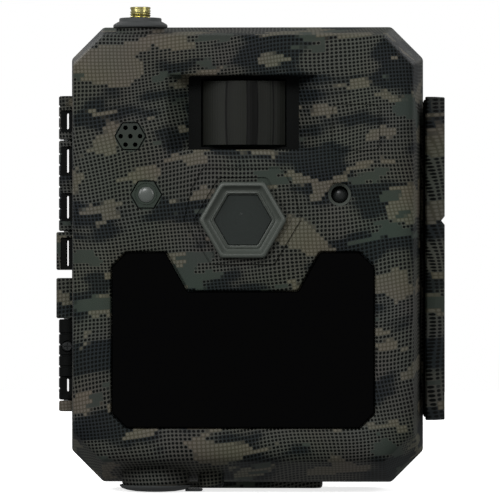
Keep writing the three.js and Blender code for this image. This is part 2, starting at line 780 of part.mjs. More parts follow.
function buildPanelScrew({ x, z }) {
  const head = rodY(x, z, panelScrew.headRadius, panelFrontY - 1.1, panelFrontY + 0.2, 12);
  const tip = panelBackY - panelScrew.length + 0.4;
  const shank = rodY(x, z, panelScrew.radius - 0.1, tip, panelFrontY - 1, 10);
  const drive = box(x - 1.5, x + 1.5, panelFrontY - 0.4, 1, z - 0.3, z + 0.3);
  const cross = box(x - 0.3, x + 0.3, panelFrontY - 0.4, 1, z - 1.5, z + 1.5);
  return cut(head.add(shank), [drive, cross]);
}

// ---- antenna connector ----
function buildSmaConnector() {
  const top = smaZ + smaSeat.discHeight + smaSeat.capHeight + smaProud;
  const thread = rodZ(smaPlace.x, smaPlace.y, smaThreadRadius, smaZ - 11, top, 16);
  const shoulder = rodZ(smaPlace.x, smaPlace.y, smaShoulderRadius, smaZ - 12.5, smaZ - 10.5, 6);
  const tail = rodZ(smaPlace.x, smaPlace.y, 1.6, smaZ - 16, smaZ - 12, 8);
  const socket = rodZ(smaPlace.x, smaPlace.y, 2.3, top - 3, top + 1, 12);
  const pin = rodZ(smaPlace.x, smaPlace.y, 0.5, top - 3.5, top - 0.8, 6);
  return join([thread, shoulder, tail]).subtract(socket).add(pin);
}

function buildSmaWasher() {
  const seat = smaZ + 0.05;
  const { discRadius, capRadius, discHeight, capHeight } = smaSeat;
  const disc = rodZ(smaPlace.x, smaPlace.y, discRadius, seat, seat + discHeight, 24);
  const cap = rodZ(smaPlace.x, smaPlace.y, capRadius, seat, seat + discHeight + capHeight, 24);
  const bore = rodZ(smaPlace.x, smaPlace.y, smaThreadRadius + 0.08, seat - 1, seat + 9, 16);
  return disc.add(cap).subtract(bore);
}

function buildCoax() {
  const start = smaZ - 16.2;
  const end = { x: -24, y: boardFrontY - 0.2, z: bodyHeight - 34 };
  const path = new THREE.CatmullRomCurve3([
    new THREE.Vector3(smaPlace.x, smaPlace.y, start),
    new THREE.Vector3(smaPlace.x, smaPlace.y, start - 3),
    new THREE.Vector3(smaPlace.x + 2.5, smaPlace.y + 0.5, start - 8),
    new THREE.Vector3(end.x - 2, end.y - 4.5, end.z + 2.5),
    new THREE.Vector3(end.x, end.y - 2, end.z),
    new THREE.Vector3(end.x, end.y, end.z),
  ]);
  const section = shapeOf(Array.from({ length: 8 }, (_, i) => {
    const a = (i * Math.PI) / 4;
    return [coaxRadius * Math.cos(a), coaxRadius * Math.sin(a)];
  }));
  return solid(new THREE.ExtrudeGeometry(section, { steps: 14, extrudePath: path, bevelEnabled: false }));
}

// ---- power inlet ----
function buildDcJack() {
  const body = rodZ(dcPlace.x, dcPlace.y, dcJackRadius, 1.7, 14, 20);
  const bore = rodZ(dcPlace.x, dcPlace.y, 3, 0, 11, 16);
  const pin = rodZ(dcPlace.x, dcPlace.y, 1, 3, 12, 10);
  return body.subtract(bore).add(pin);
}

function buildDcPlug() {
  const { radius, spigotRadius, spigotHeight } = dcPlug;
  const top = dcPlugTop;
  const profile = [
    [0, -footHeight], [radius * 0.55, -footHeight], [radius, top - 0.5], [radius, top], [0, top],
  ];
  const disc = turnedZ(profile, dcPlace.x, dcPlace.y, 0, 24);
  const spigot = rodZ(dcPlace.x, dcPlace.y, spigotRadius, top - 0.5, top + spigotHeight, 16);
  const y0 = dcPlace.y - dcTether.width / 2;
  const y1 = dcPlace.y + dcTether.width / 2;
  const endX = dcPlace.x + dcTether.reach;
  const strap = box(dcPlace.x + radius - 2, endX, y0, y1, top - dcTether.thickness, top);
  const eye = rodY(endX, top - dcTether.thickness / 2, dcTether.thickness / 2, y0, y1, 10);
  return join([disc, spigot, strap, eye]);
}

// ---- rear housing ----
const rearRings = [
  caseRing(backY, 6, 6, 6, 8.4),
  caseRing(backY - 2.5, 3, 3, 3, 9),
  caseRing(rearY + 11, 1, 1, 1, 9.6),
  caseRing(rearY, 0, 0, 0, cornerChamfer),
];

const rearCavityRings = [
  caseRing(backY - wall, 6 + wall, 6 + wall, 6 + wall, 7.4),
  caseRing(rearY + 11, 1 + wall, 1 + wall, 1 + wall, 8.6),
  caseRing(rearY + rimThickness + 2.5, wall + 0.2, wall + 0.2, wall + 0.2, 8.8),
];

function rimRing(inset, y0, y1) {
  const outline = chamferedRect(
    -halfWidth + inset, halfWidth - inset, inset, bodyHeight - inset, cornerChamfer - inset * 0.42,
  );
  return prismY(outline, y0, y1);
}

function earOutline() {
  const middle = bodyHeight / 2;
  const half = ear.height / 2;
  const out = backY + standoffDepth;
  const points = [[backY - 1, middle - half], [out - 2, middle - half + ear.chamfer]];
  points.push([out, middle - half + ear.chamfer + 3]);
  for (const side of [-1, 1]) {
    const start = middle + (side < 0 ? -30 : 16);
    for (let i = 0; i < 3; i += 1) {
      points.push([out, start + i * 5], [out - 1.8, start + 2 + i * 5], [out, start + 4 + i * 5]);
    }
  }
  points.push([out, middle + half - ear.chamfer - 3], [out - 2, middle + half - ear.chamfer]);
  points.push([backY - 1, middle + half]);
  return points;
}

function buildEars() {
  return [-1, 1].map((side) => {
    const x0 = side * ear.x - ear.thickness / 2;
    return prismX(earOutline(), x0, x0 + ear.thickness);
  });
}

function strapCut() {
  const middle = bodyHeight / 2;
  const y0 = backY + strapSlot.behindWall;
  const z0 = middle - strapSlot.height / 2;
  return box(-halfWidth, halfWidth, y0, y0 + strapSlot.depth, z0, z0 + strapSlot.height);
}

function lockCuts() {
  return [-1, 1].map((side) => {
    const geometry = new THREE.CylinderGeometry(lockHoleRadius, lockHoleRadius, bodyWidth, 12);
    geometry.rotateZ(Math.PI / 2);
    geometry.translate(0, backY + lockHoleBehindWall, bodyHeight / 2 + side * lockHoleFromMiddle);
    return solid(geometry);
  });
}

function latchLugs() {
  return latchLugPlaces().map(({ z0, z1 }) => {
    const arm = box(halfWidth - 3.5, latchX, latchBack - 2.6, latchBack + 2.6, z0, z1);
    return arm.add(rodZ(latchX, latchBack, latchKnuckleRadius, z0, z1, 16));
  });
}

function latchLugPlaces() {
  const middle = (latchTopZ + latchBottomZ) / 2;
  return [latchBottomZ + 8, middle - latchLugHeight / 2, latchTopZ - 8 - latchLugHeight]
    .map((z0) => ({ z0, z1: z0 + latchLugHeight }));
}

function cradleRibs() {
  return Array.from({ length: cellColumns - 1 }, (_, i) => {
    const x = (i - (cellColumns - 2) / 2) * cellPitch;
    return box(x - 0.4, x + 0.4, bayFloorY - 2.6, bayFloorY + 1, bayBottom + 8, bayTop - 8);
  });
}

function buildRearHousing() {
  const footY0 = insertY - foot.depth / 2;
  const shell = cut(loft(rearRings), [loft(rearCavityRings), rimRing(rimWidth, rearY - 1, rearY + 6)]);
  const side = bayHalfWidth + bayPlate;
  const bayOuter = box(-side, side, coverBackY + 0.2, backY - 1, bayBottom - bayPlate, bayTop + bayPlate);
  const bayRoom = box(-bayHalfWidth, bayHalfWidth, coverFrontY - 5, bayFloorY, bayBottom, bayTop);
  const bayWalls = bayOuter.subtract(bayRoom);
  const rimEdge = bodyHeight - rimWidth;
  const latchPocket = box(-6.6, 6.6, coverFrontY - 1.9, coverFrontY + 0.2, rimEdge - 1, rimEdge + 2.4);
  const added = join([
    shell,
    bayWalls.intersect(loft(rearRings)),
    ...cradleRibs(),
    box(-foot.width / 2, foot.width / 2, footY0, footY0 + foot.depth, -footHeight, 4),
    box(-8, 8, insertY - 7, insertY + 7, 0, bayBottom),
    ...buildEars(),
    ...latchLugs(),
    ...knuckles.filter((k) => !k.door).map((k) => hingeBlock(k, rearY, hingeY + knuckleRadius - 0.4)),
  ]);
  const groove = rimRing(3.1, rearY - 1, rearY + 2.3).subtract(rimRing(5.2, rearY - 2, rearY + 3));
  return cut(added, [
    groove,
    latchPocket,
    strapCut(),
    ...lockCuts(),
    rodZ(0, insertY, insertRadius + 0.06, -footHeight - 1, tripodDepth - footHeight + 0.1, 20),
    rodZ(latchX, latchBack, latchPinRadius + 0.05, latchBottomZ, latchTopZ, 12),
    hingeScrewHole(),
    ...hingeReliefs(false),
    ...hingeCuts(false),
  ]);
}

function buildGasket() {
  return rimRing(3.25, rearY - 0.3, rearY + 2.2).subtract(rimRing(5.05, rearY - 2, rearY + 3));
}

function buildTripodInsert() {
  const top = tripodDepth - footHeight;
  const sleeve = rodZ(0, insertY, insertRadius, -footHeight + 0.1, top, 20);
  return sleeve.subtract(rodZ(0, insertY, tripodBoreRadius, -footHeight - 1, top - 1.5, 16));
}

function buildHingePin({ z0, z1 }) {
  return rodZ(hingeX, hingeY, hingePinRadius, z0, z1, 12);
}

function hingeScrewZ() {
  return knuckles[4].top - 8.4;
}

function hingeScrewHole() {
  const front = hingeY - knuckleRadius;
  const head = rodY(hingeX, hingeScrewZ(), 1.85, front - 1, front + 1.5, 12);
  return head.add(rodY(hingeX, hingeScrewZ(), 1, front, front + 5, 8));
}

function buildHingeScrew() {
  const front = hingeY - knuckleRadius;
  const head = rodY(hingeX, hingeScrewZ(), 1.7, front + 0.5, front + 1.4, 12);
  const shank = rodY(hingeX, hingeScrewZ(), 0.9, front + 1.2, front + 4.8, 8);
  const drive = box(hingeX - 1, hingeX + 1, front, front + 0.9, hingeScrewZ() - 0.25, hingeScrewZ() + 0.25);
  const cross = box(hingeX - 0.25, hingeX + 0.25, front, front + 0.9, hingeScrewZ() - 1, hingeScrewZ() + 1);
  return cut(head.add(shank), [drive, cross]);
}

function buildLatchLever() {
  const outer = halfWidth + latchOuter;
  const front = latchFront;
  const inner = halfWidth + 0.7;
  const outline = [
    [latchX, latchBack + latchKnuckleRadius], [outer - 1.4, latchBack + latchKnuckleRadius - 0.4],
    [outer, latchBack], [outer, front + 5.5], [outer - 2.9, front + 0.6], [inner + 0.6, front],
    [inner, front + 0.8], [inner, front + 3.6], [inner + 2.6, front + 5],
    [inner + 2.6, latchBack - 4.4], [latchX - 1, latchBack - 3],
  ];
  const body = join([
    prismZ(outline, latchBottomZ, latchTopZ),
    rodZ(latchX, latchBack, latchKnuckleRadius, latchBottomZ, latchTopZ, 16),
  ]);
  const lugRooms = latchLugPlaces().map(({ z0, z1 }) => (
    box(halfWidth - 4, outer + 1, latchBack - 5.5, latchBack + 9, z0 - turnGap, z1 + turnGap)
  ));
  const notchZ = latchTopZ - 38;
  const notchOutline = [[outer + 1, notchZ - 2], [outer + 1, notchZ + 2], [outer - 0.9, notchZ]];
  const notch = prismY(notchOutline, front - 1, latchBack + 9);
  return cut(body, [
    ...lugRooms,
    notch,
    rodZ(latchX, latchBack, latchPinRadius + 0.12, latchBottomZ - 1, latchTopZ + 1, 12),
  ]);
}

function buildLatchPin() {
  return rodZ(latchX, latchBack, latchPinRadius, latchBottomZ + 1, latchTopZ - 1, 12);
}

// ---- batteries and their cover ----
function contactFeatures(atBottom) {
  return Array.from({ length: cellColumns }, (_, i) => {
    const x = (i - (cellColumns - 1) / 2) * cellPitch;
    const sprung = (i % 2 === 0) === atBottom;
    const height = sprung ? springHeight : padHeight;
    const base = sprung ? 4.6 : 3;
    const tip = sprung ? 2.6 : 2.4;
    const geometry = new THREE.CylinderGeometry(tip, base, height + 0.2, 8);
    geometry.rotateX(Math.PI / 2);
    if (!atBottom) {
      geometry.rotateX(Math.PI);
    }
    const from = atBottom ? bayBottom + contactPlate : bayTop - contactPlate;
    geometry.translate(x, cellY, from + ((atBottom ? 1 : -1) * (height - 0.2)) / 2);
    return solid(geometry);
  });
}

function buildContactStrip(atBottom) {
  const z0 = atBottom ? bayBottom + 0.02 : bayTop - contactPlate;
  const plate = box(
    -bayHalfWidth + 0.2, bayHalfWidth - 0.2, cellY - 6.2, cellY + 5, z0, z0 + contactPlate - 0.02,
  );
  return join([plate, ...contactFeatures(atBottom)]);
}

function buildCell(column, row) {
  const x = (column - (cellColumns - 1) / 2) * cellPitch;
  const body = cellLength - cellNub.height;
  const nub = cellNub.radius;
  const end = cellLength;
  const profile = [[0, 0], [cellRadius, 0], [cellRadius, body], [nub, body], [nub, end], [0, end]];
  const sprung = column % 2 === 0;
  const start = bayBottom + contactPlate + (sprung ? springHeight : padHeight) + contactPlay / 2;
  const geometry = turned(profile, 16);
  geometry.rotateX(Math.PI / 2);
  if (!sprung) {
    geometry.rotateX(Math.PI);
    geometry.translate(0, 0, cellLength);
  }
  geometry.translate(x, cellY, start + row * (cellLength + 0.05));
  return solid(geometry);
}

function buildBatteryCover() {
  const gap = rimWidth + 0.4;
  const outline = chamferedRect(
    -halfWidth + gap, halfWidth - gap, gap, bodyHeight - gap, cornerChamfer - 3.2,
  );
  const plate = prismY(outline, coverFrontY, coverBackY);
  const grips = [-38, 22].map((x0) => box(x0, x0 + 16, coverFrontY - 0.8, coverFrontY + 0.1, 20, 22));
  return join([plate, ...grips]);
}

function buildBatteryLatch() {
  const top = bodyHeight - rimWidth;
  const slide = box(-6, 6, coverFrontY - 1.5, coverFrontY - 0.1, top - 9, top + 1.8);
  const grip = box(-5, 5, coverFrontY - 2, coverFrontY - 1.4, top - 8, top - 6.6);
  return slide.add(grip);
}

// ---- finishes ----
const finishes = {
  camo: { color: 0x373933, roughness: 0.62, metalness: 0 },
  greyGreen: { color: 0x4b4f4a, roughness: 0.5, metalness: 0 },
  blackGloss: { color: 0x050505, roughness: 0.08, metalness: 0 },
  smokeLens: { color: 0x26282a, roughness: 0.2, metalness: 0 },
  milkLens: { color: 0x2a2c28, roughness: 0.45, metalness: 0 },
  clearLens: { color: 0x8a908a, roughness: 0.1, metalness: 0 },
  blackPlastic: { color: 0x151616, roughness: 0.55, metalness: 0 },
  darkGreen: { color: 0x17301f, roughness: 0.5, metalness: 0 },
  rubber: { color: 0x101111, roughness: 0.85, metalness: 0 },
  brass: { color: 0xb8b472, roughness: 0.3, metalness: 1 },
  steel: { color: 0x8d8f8f, roughness: 0.35, metalness: 1 },
  greyPlastic: { color: 0x3d4040, roughness: 0.6, metalness: 0 },
  keyGrey: { color: 0x6a6e6a, roughness: 0.6, metalness: 0 },
  cellSleeve: { color: 0x2f5a46, roughness: 0.35, metalness: 0.1 },
};

const camera = new THREE.Group();

function place(name, shape, finish) {
  const { vertProperties, triVerts } = shape.getMesh();
  const geometry = new THREE.BufferGeometry();
  geometry.setAttribute('position', new THREE.Float32BufferAttribute(vertProperties, 3));
  geometry.setIndex(new THREE.Uint32BufferAttribute(triVerts, 1));
  geometry.computeVertexNormals();
  const mesh = new THREE.Mesh(geometry, new THREE.MeshStandardMaterial(finishes[finish]));
  mesh.name = name;
  camera.add(mesh);
}

place('front_cover', buildFrontCover(), 'camo');
place('ir_window', buildIrWindow(), 'blackGloss');
place('ir_led_board', buildIrBoard(), 'darkGreen');
place('pir_lens', buildPirLens(), 'milkLens');
place('pir_sensor', buildPirSensor(), 'steel');
place('lens_bezel', buildBezel(), 'greyGreen');
place('lens_window', buildLensWindow(), 'smokeLens');
place('lens_barrel', buildLensBarrel(), 'blackPlastic');
place('camera_board', buildCameraBoard(), 'blackPlastic');
place('ir_cut_filter', buildIrCutFilter(), 'smokeLens');
place('light_sensor_lens', buildSensorLens(), 'clearLens');
place('status_led', buildStatusLed(), 'smokeLens');
place('microphone', buildMicrophone(), 'steel');
place('main_board', buildMainBoard(), 'darkGreen');
place('inner_panel', buildInnerPanel(), 'greyPlastic');
place('lcd_panel', buildLcd(), 'blackGloss');
keyPlaces().forEach((key) => place(key.name, buildKey(key), 'keyGrey'));
place('power_switch', buildPowerSwitch(), 'blackPlastic');
place('card_socket', buildCardSockets(), 'steel');
place('sd_card', buildCard(sdCard), 'blackPlastic');
place('sim_card', buildCard(simCard), 'clearLens');
panelScrewPlaces().forEach((at, i) => place(`panel_screw_${i + 1}`, buildPanelScrew(at), 'steel'));
place('sma_connector', buildSmaConnector(), 'brass');
place('sma_washer', buildSmaWasher(), 'rubber');
place('coax_cable', buildCoax(), 'rubber');
place('dc_jack', buildDcJack(), 'blackPlastic');
place('dc_plug', buildDcPlug(), 'rubber');
place('rear_housing', buildRearHousing(), 'camo');
place('rear_gasket', buildGasket(), 'rubber');
place('tripod_insert', buildTripodInsert(), 'brass');
hingePins.forEach((pin, i) => place(`hinge_pin_${i + 1}`, buildHingePin(pin), 'steel'));
place('hinge_screw', buildHingeScrew(), 'steel');
place('latch_lever', buildLatchLever(), 'camo');
place('latch_pin', buildLatchPin(), 'steel');
place('contact_strip_top', buildContactStrip(false), 'steel');
place('contact_strip_bottom', buildContactStrip(true), 'steel');
for (let column = 0; column < cellColumns; column += 1) {
  for (let row = 0; row < cellRows; row += 1) {
    place(`battery_cell_${column * cellRows + row + 1}`, buildCell(column, row), 'cellSleeve');
  }
}
place('battery_cover', buildBatteryCover(), 'greyPlastic');
place('battery_latch', buildBatteryLatch(), 'keyGrey');

// The origin: the middle of the whole camera's footprint, on the plane of its feet.
camera.position.set(
  (hingeOut + bulgeRadius - latchOuter) / 2,
  (frontDepth + bezelHeight - seamGap - rearDepth - standoffDepth) / 2,
  footHeight,
);

export default camera;
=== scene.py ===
"""Trail camera: case, optics, hinge, latch, controls and batteries in their finished look.

Shapes are worked out in millimetres in the frame's own axes (the front looks along -Y, +Z is up,
+X is the latch side) and are turned to metres when a mesh is made. Print coordinates, which the
camouflage film follows, stay in millimetres.
"""

import json
import math

import bmesh
import bpy
from bpy.props import FloatProperty, FloatVectorProperty, IntProperty, PointerProperty
from bpy.types import Operator, Panel, PropertyGroup
from mathutils import Matrix, Vector


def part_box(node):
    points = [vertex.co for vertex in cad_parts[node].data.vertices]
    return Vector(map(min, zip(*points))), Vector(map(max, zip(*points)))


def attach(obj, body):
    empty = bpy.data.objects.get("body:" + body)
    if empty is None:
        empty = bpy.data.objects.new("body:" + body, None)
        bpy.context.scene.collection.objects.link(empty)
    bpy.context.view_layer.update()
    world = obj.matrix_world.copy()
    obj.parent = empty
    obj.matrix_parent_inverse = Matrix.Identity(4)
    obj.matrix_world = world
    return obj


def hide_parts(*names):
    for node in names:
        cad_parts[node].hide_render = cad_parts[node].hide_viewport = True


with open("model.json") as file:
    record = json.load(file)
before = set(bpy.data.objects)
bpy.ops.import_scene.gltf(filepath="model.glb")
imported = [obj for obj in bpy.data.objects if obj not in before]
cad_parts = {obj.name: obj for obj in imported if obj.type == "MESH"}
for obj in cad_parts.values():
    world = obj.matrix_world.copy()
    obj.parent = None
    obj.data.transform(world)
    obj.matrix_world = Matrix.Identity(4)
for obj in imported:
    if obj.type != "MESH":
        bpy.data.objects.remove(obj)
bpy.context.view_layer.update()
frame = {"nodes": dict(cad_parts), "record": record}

bl_info = {
    "name": "Trail camera",
    "version": (1, 0, 0),
    "blender": (4, 5, 0),
    "location": "View3D > Sidebar > Trail camera",
    "description": "Builds the case, optics, hinge, latch, controls and batteries of a trail camera",
    "category": "Object",
}

MM = 0.001
PRINT = "print"


# ---------------------------------------------------------------- places read from the frame
class Layout:
    """The case's planes and the middles of what sits in it, from the middle of the case's lower
    edge where its two halves meet."""

    panel_to_side = 7.3
    panel_sink = 0.5
    seam_gap = 0.5
    bezel_height = 2.0
    standoff = 14.5

    def __init__(self):
        low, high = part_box("inner_panel")
        low, high = low / MM, high / MM
        self.origin = Vector(
            ((low.x + high.x) / 2, high.y + self.panel_sink, low.z - self.panel_to_side)
        )
        self.half = (high.x - low.x) / 2 + self.panel_to_side
        self.height = high.z - low.z + 2 * self.panel_to_side
        self.face = self.low("lens_bezel").y + self.bezel_height
        self.back = self.high("rear_housing").y - self.standoff
        self.lens = self.centre("lens_window")
        self.pir = self.centre("pir_lens")
        self.light_sensor = self.centre("light_sensor_lens")
        self.status = self.centre("status_led")
        self.mic = self.centre("microphone")
        self.hinge = self.centre("hinge_pin_1")
        self.latch = self.centre("latch_pin")
        self.antenna = self.centre("sma_connector")
        self.inlet = self.centre("dc_jack")
        self.tripod = self.centre("tripod_insert")

    def low(self, node):
        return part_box(node)[0] / MM - self.origin

    def high(self, node):
        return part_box(node)[1] / MM - self.origin

    def centre(self, node):
        return (self.low(node) + self.high(node)) / 2

    def metres(self, x, y, z):
        return (Vector((x, y, z)) + self.origin) * MM


L = Layout()


# ---------------------------------------------------------------- what a user may change
def colour(name, description, default):
    return FloatVectorProperty(
        name=name, description=description, subtype="COLOR", size=3, min=0, max=1, default=default
    )


def length(name, description, millimetres):
    return FloatProperty(
        name=name, description=description, unit="LENGTH", min=0, default=millimetres * MM, precision=4
    )


def share(name, description, default):
    return FloatProperty(name=name, description=description, subtype="FACTOR", min=0, max=1, default=default)


class FilmSettings(PropertyGroup):
    """The camouflage film on the case."""

    dot_pitch: length("Dot pitch", "From one printed dot to the next", 1.14)
    lean: FloatProperty(
        name="Lean", description="How far the dot rows lean", subtype="ANGLE", default=math.radians(-6)
    )
    swirl: length("Swirl", "How far the floating film drifted before it set", 5.0)
    net_line: colour("Net line", "Lines of the dark net", (0.062, 0.064, 0.055))
    net_dot: colour("Net dot", "Dots of the dark net", (0.0020, 0.0026, 0.0021))
    cream_ground: colour("Cream ground", "Ground of the pale patches", (0.069, 0.064, 0.046))
    cream_dot: colour("Cream dot", "Dots of the pale patches", (0.112, 0.105, 0.083))
    plain_green: colour("Plain green", "Undotted grey-green patches", (0.037, 0.045, 0.038))
    roughness: share("Roughness", "How matt the lacquer over the film is", 0.6)


class OpticsSettings(PropertyGroup):
    """Bezel, windows and lenses on the front."""

    bezel_colour: colour("Bezel", "Moulded grey-green of the lens bezel", (0.066, 0.075, 0.065))
    window_tint: colour("Window", "Smoked glass over the lens", (0.031, 0.037, 0.034))
    film_tint: colour("Motion lens", "Milky film of the motion sensor", (0.0165, 0.0175, 0.0148))
    facet_bulge: length("Facet bulge", "How far each facet of the motion lens stands out", 0.35)
    barrel_bow: length("Facet bow", "How far the facet lines bow outwards", 0.7)


class FieldSettings(PropertyGroup):
    """Hardware that repeats."""

    thread_pitch: length("Thread pitch", "Rise of the antenna thread in one turn", 0.706)
    led_pitch: length("Lamp pitch", "From one infrared lamp to the next", 8.2)
    tooth_count: IntProperty(name="Teeth", description="Grip teeth in each group on an ear", default=3, min=1)
    spring_turns: FloatProperty(name="Spring turns", description="Turns of a battery spring", default=4.5)


class StageSettings(PropertyGroup):
    """Camera, lights and floor."""

    azimuth: FloatProperty(
        name="Azimuth", description="Camera's turn round the case", subtype="ANGLE", default=math.radians(2.0)
    )
    distance: FloatProperty(name="Distance", description="Camera to case", unit="LENGTH", default=1.6)
    frame_width: length("Picture width", "Width that the picture takes in at the case", 155.0)
    side_power: FloatProperty(
        name="Side lights", description="Power of each side light", unit="POWER", default=4
    )
    top_power: FloatProperty(
        name="Top light", description="Power of the top light", unit="POWER", default=0.1
    )
    front_power: FloatProperty(
        name="Front light", description="Power of the front light", unit="POWER", default=9.5
    )


SETTINGS = (
    ("film", FilmSettings),
    ("optics", OpticsSettings),
    ("field", FieldSettings),
    ("stage", StageSettings),
)


def setting(group):
    return getattr(bpy.context.scene, "trail_" + group)


# ---------------------------------------------------------------- outlines
def chamfered(x0, x1, z0, z1, cut):
    return [
        (x0 + cut, z0), (x1 - cut, z0), (x1, z0 + cut), (x1, z1 - cut),
        (x1 - cut, z1), (x0 + cut, z1), (x0, z1 - cut), (x0, z0 + cut),
    ]


def rectangle(x0, x1, z0, z1):
    return [(x0, z0), (x1, z0), (x1, z1), (x0, z1)]


def circle(radius, cx=0.0, cz=0.0, sides=32):
    steps = [2 * math.pi * i / sides for i in range(sides)]
    return [(cx + radius * math.cos(a), cz + radius * math.sin(a)) for a in steps]


def hexagon(radius, cx, cz):
    return circle(radius, cx, cz, sides=6)


def rounded(points, radius, steps=3):
    """The outline with each corner turned into an arc."""
    result = []
    for i, corner in enumerate(points):
        here = Vector(corner)
        before = Vector(points[i - 1]) - here
        after = Vector(points[(i + 1) % len(points)]) - here
        half = before.angle(after) / 2
        reach = min(radius / math.tan(half), 0.45 * min(before.length, after.length))
        arc_radius = reach * math.tan(half)
        inward = (before.normalized() + after.normalized()).normalized()
        centre = here + inward * (arc_radius / math.sin(half))
        start = here + before.normalized() * reach - centre
        end = here + after.normalized() * reach - centre
        for step in range(steps + 1):
            spoke = start.lerp(end, step / steps).normalized() * arc_radius
            result.append(tuple(centre + spoke))
    return result


def grown(points, amount):
    """The outline moved outwards by an amount, or inwards where it is negative."""
    following = points[1:] + points[:1]
    area = sum(a[0] * b[1] - b[0] * a[1] for a, b in zip(points, following))
    turn = 1 if area > 0 else -1
    result = []
    for i, point in enumerate(points):
        edge_in = (Vector(point) - Vector(points[i - 1])).normalized()
        edge_out = (Vector(following[i]) - Vector(point)).normalized()
        normal_in = Vector((edge_in.y, -edge_in.x)) * turn
        normal_out = Vector((edge_out.y, -edge_out.x)) * turn
        mitre = (normal_in + normal_out) / (1 + normal_in.dot(normal_out))
        result.append(tuple(Vector(point) + mitre * amount))
    return result


def at_y(points, y):
    return [(x, y, z) for x, z in points]


def at_z(points, z):
    return [(x, y, z) for x, y in points]


def at_x(points, x):
    return [(x, y, z) for y, z in points]


# ---------------------------------------------------------------- shapes
def loft(rings, prints=None, closed=False):
    """A closed skin through rings of points; closed joins the last ring to the first, without end caps."""
    shape = bmesh.new()
    layer = shape.loops.layers.uv.new(PRINT)
    prints = prints or [[(x, z) for x, _, z in ring] for ring in rings]
    rows = [[shape.verts.new(point) for point in ring] for ring in rings]
    marks = {v: mark for row, ring in zip(rows, prints) for v, mark in zip(row, ring)}
    count = len(rings[0])
    pairs = list(zip(rows, rows[1:]))
    if closed:
        pairs.append((rows[-1], rows[0]))
    else:
        shape.faces.new(rows[0][::-1])
        shape.faces.new(rows[-1])
    for low, high in pairs:
        for i in range(count):
            j = (i + 1) % count
            shape.faces.new((low[i], low[j], high[j], high[i]))
    for face in shape.faces:
        for loop in face.loops:
            loop[layer].uv = marks[loop.vert]
    bmesh.ops.recalc_face_normals(shape, faces=shape.faces)
    return shape


def slab(points, y0, y1, edge=0.0):
    """An outline carried along y, its two rims eased by a small chamfer."""
    if not edge:
        return loft([at_y(points, y0), at_y(points, y1)])
    inner = grown(points, -edge)
    return loft([at_y(inner, y0), at_y(points, y0 + edge), at_y(points, y1 - edge), at_y(inner, y1)])


def column(points, z0, z1, edge=0.0):
    """An outline in x and y carried along z, its two rims eased."""
    if not edge:
        return loft([at_z(points, z0), at_z(points, z1)])
    inner = grown(points, -edge)
    return loft([at_z(inner, z0), at_z(points, z0 + edge), at_z(points, z1 - edge), at_z(inner, z1)])


def block(low, high, edge=0.0):
    return slab(rectangle(low[0], high[0], low[2], high[2]), low[1], high[1], edge)


def turned_z(profile, x, y, z, sides=32):
    """A turned shape that stands up along z; profile points are (radius, height)."""
    return loft([at_z(circle(r, x, y, sides), z + h) for r, h in profile])


def turned_y(profile, x, y, z, sides=32):
    """A turned shape that points out of the front; profile points are (radius, height)."""
    return loft([at_y(circle(r, x, z, sides), y - h) for r, h in profile])


def groove(points, width, depth, surface):
    """A ring cutter that sinks a line along an outline in the front."""
    outer, inner = grown(points, width / 2), grown(points, -width / 2)
    bottom = surface + depth
    return loft(
        [at_y(outer, surface - 1), at_y(outer, bottom), at_y(inner, bottom), at_y(inner, surface - 1)],
        closed=True,
    )


def recess(points, surface, depth, rim, steps=4):
    """A cutter from the front with a rounded rim."""
    rings = [at_y(grown(points, rim), surface - 1)]
    for step in range(steps + 1):
        sunk = rim * step / steps
        spread = rim - math.sqrt(max(rim * rim - (rim - sunk) ** 2, 0))
        rings.append(at_y(grown(points, spread), surface + sunk))
    rings.append(at_y(points, surface + depth))
    return loft(rings)


def joined(shapes):
    whole = bmesh.new()
    whole.loops.layers.uv.new(PRINT)
    for shape in shapes:
        part = bpy.data.meshes.new("part")
        shape.to_mesh(part)
        whole.from_mesh(part)
        bpy.data.meshes.remove(part)
        shape.free()
    return whole


# ---------------------------------------------------------------- meshes and objects
def link(obj):
    bpy.context.scene.collection.objects.link(obj)
    return obj


def smoothed(mesh, sharp_degrees=34):
    mesh.polygons.foreach_set("use_smooth", [True] * len(mesh.polygons))
    mesh.set_sharp_from_angle(angle=math.radians(sharp_degrees))
    mesh.update()


def made(name, shapes, finish=None):
    """An object from one shape or several, in metres."""
    shape = joined(shapes) if isinstance(shapes, (list, tuple)) else shapes
    for vert in shape.verts:
        vert.co = (vert.co + L.origin) * MM
    mesh = bpy.data.meshes.new(name)
    shape.to_mesh(mesh)
    shape.free()
    if finish:
        mesh.materials.append(finish)
    smoothed(mesh)
    return link(bpy.data.objects.new(name, mesh))


def settled(piece):
    """Turns what a piece's modifiers make into its plain mesh."""
    graph = bpy.context.evaluated_depsgraph_get()
    mesh = bpy.data.meshes.new_from_object(piece.evaluated_get(graph), depsgraph=graph)
    piece.modifiers.clear()
    old = piece.data
    piece.data = mesh
    mesh.name = piece.name
    if old.users == 0:
        bpy.data.meshes.remove(old)
    smoothed(mesh)
    return piece


def combined(piece, cutters, operation):
    """Cutters are shapes, or pairs of a shape and the finish that its own faces bring."""
    tools = []
    for cutter in cutters:
        shape, finish = cutter if isinstance(cutter, tuple) else (cutter, None)
        tool = made("tool", shape, finish or piece.data.materials[0])
        step = piece.modifiers.new(operation.lower(), "BOOLEAN")
        step.operation = operation
        step.solver = "EXACT"
        step.material_mode = "TRANSFER"
        step.object = tool
        tools.append(tool)
    settled(piece)
    for tool in tools:
        mesh = tool.data
        bpy.data.objects.remove(tool)
        bpy.data.meshes.remove(mesh)
    return piece


def carved(piece, cutters):
    return combined(piece, cutters, "DIFFERENCE")


def grafted(piece, shapes):
    return combined(piece, shapes, "UNION")


